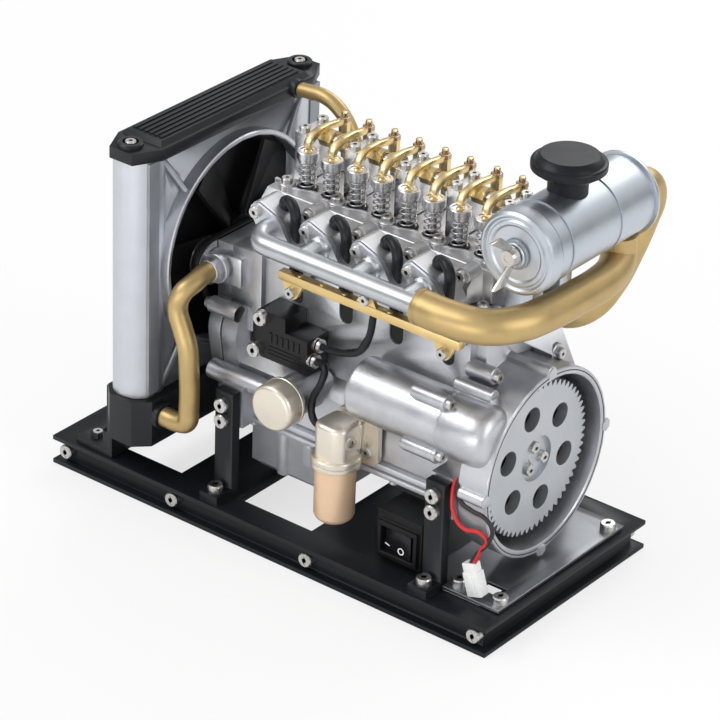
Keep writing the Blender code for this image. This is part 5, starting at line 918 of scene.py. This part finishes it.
# The eye's bore is a black disc of painted shade.
eye_hole_shade = turned(eye_middle, eye_way, [(0.2, 1.4), (0.2, 0)], 24)
filter_screw = cap_screw((31.2, -27.4, 46.6), forward, 2.3, 2.0)
filter_washer = turned((31.2, -27.3, 46.6), forward, [(0, 2.7), (0.2, 2.7), (0.2, 1)], 32)
piece("fuel_filter_body",
      gather((filter_head, 0), (bowl, 2), (seat, 0), (neck, 0), (mount, 0), (eye, 0), (eye_hole_shade, 3),
             (filter_screw, 1), (filter_washer, 3)),
      [pale_gold, screw_steel, tan_gold, painted_shade_black], "engine", ["fuel_filter"], edge=0.7)


# Motor lead: one red and one black silicone wire from the starter to a white two-pin plug
# that stands in the deck's slot.
white_nylon = finish("white_nylon", (0.80, 0.81, 0.80), 0.0, 0.42, tone=0.03)
red_silicone = finish("red_silicone", (0.55, 0.018, 0.022), 0.0, 0.40, tone=0.08)
black_silicone = finish("black_silicone", (0.013, 0.013, 0.014), 0.0, 0.42)
black_route = [(75.5, -30.5, 59.5), (76, -35.4, 54), (79, -37.4, 49.8), (84.4, -38, 48.3),
               (90.2, -38, 47.5), (93, -37.6, 43.8), (91.2, -37, 38), (87, -36.4, 32),
               (83.4, -35.7, 25.5)]
red_route = [(73.2, -30.5, 58), (74.4, -35.8, 50.5), (77, -37.3, 42.6), (81.6, -37.8, 39.9),
             (87.6, -37.6, 40.8), (90.6, -37.2, 38.6), (88, -36.6, 33.6), (84.6, -35.8, 25.5)]
plug = gather(block((-3.1, 3.1), (-2.2, 2.2), (-12.5, -3.4), 0.25),
              block((-2.7, 2.7), (-1.8, 1.8), (-3.5, 0), 0.2),
              block((-3.45, 3.45), (-1.2, 1.2), (-9.2, -8.0), 0.15),
              block((-1.2, 1.2), (-2.7, -2.1), (-10.5, -5), 0.15))
moved(plug, Matrix.Translation((83.2, -35.4, 26.2)) @ Matrix.Rotation(-math.radians(18), 4, "Y"))
piece("motor_wires", gather((plug, 0), (wire(red_route, 0.82, 16), 1), (wire(black_route, 0.82, 16), 2)),
      [white_nylon, red_silicone, black_silicone], "engine", ["motor_lead"], limit=40)


# Studio: a white table and a bright even surround with cloudy panels, and four soft lamps
# at the left, at the right, behind and low in front.
stage_white = bpy.data.materials.new("stage_white")
stage_white.use_nodes = True
stage_tree = stage_white.node_tree
stage_shader = stage_tree.nodes["Principled BSDF"]
stage_shader.inputs["Base Color"].default_value = (0.90, 0.90, 0.90, 1)
stage_shader.inputs["Roughness"].default_value = 0.9
rays = Signal(stage_tree, stage_tree.nodes.new("ShaderNodeLightPath").outputs["Is Camera Ray"])
glow = rays.node("ShaderNodeEmission", {}, {"Color": (1, 1, 1, 1), "Strength": 1.0})
matt = Signal(stage_tree, stage_shader.outputs[0])
blend = rays.node("ShaderNodeMixShader", {}, {0: rays * 0.70, 1: matt, 2: glow})
stage_tree.links.new(blend.socket, stage_tree.nodes["Material Output"].inputs["Surface"])
table_mesh = bpy.data.meshes.new("table")
table_shape = bmesh.new()
bmesh.ops.create_grid(table_shape, x_segments=1, y_segments=1, size=3)
table_shape.to_mesh(table_mesh)
table_shape.free()
table_mesh.materials.append(stage_white)
table = bpy.data.objects.new("table", table_mesh)
table.location.z = -0.0002
bpy.context.scene.collection.objects.link(table)

world = bpy.data.worlds.new("studio")
bpy.context.scene.world = world
world.use_nodes = True
sky = world.node_tree
background = sky.nodes["Background"]
path = sky.nodes.new("ShaderNodeLightPath")
seen = Signal(sky, path.outputs["Is Camera Ray"])
direction = Signal(sky, sky.nodes.new("ShaderNodeTexCoord").outputs["Generated"])
height = direction.node("ShaderNodeSeparateXYZ", {}, {0: direction}, output=2)
studio_wall = height.ramp(-0.35, 0.75)
clouds = direction.node("ShaderNodeTexNoise", {}, {"Vector": direction, "Scale": 1.7, "Detail": 1.0})
panels = clouds.ramp(0.40, 0.60)
level = studio_wall * (panels * 0.85 + 0.33) + 0.09
strength = seen.maths("MAXIMUM", seen, level)
background.inputs["Color"].default_value = (1, 1, 1, 1)
sky.links.new(strength.socket, background.inputs["Strength"])


def lamp(name, place, size, power):
    """An oblong area lamp that faces the middle of the model."""
    light = bpy.data.lights.new(name, "AREA")
    light.shape = "RECTANGLE"
    light.size, light.size_y = size
    light.energy = power
    made = bpy.data.objects.new(name, light)
    made.location = place
    made.rotation_euler = (Vector((0, 0, 0.08)) - Vector(place)).to_track_quat("-Z", "Y").to_euler()
    bpy.context.scene.collection.objects.link(made)


lamp("key_lamp", (-0.5, -0.6, 0.9), (0.7, 0.5), 4.0)
lamp("side_lamp", (0.9, 0.0, 0.5), (0.5, 0.7), 2.6)
lamp("rear_lamp", (-0.1, 0.9, 0.7), (0.8, 0.4), 3.0)
lamp("low_lamp", (0.1, -0.9, 0.16), (0.9, 0.25), 2.2)
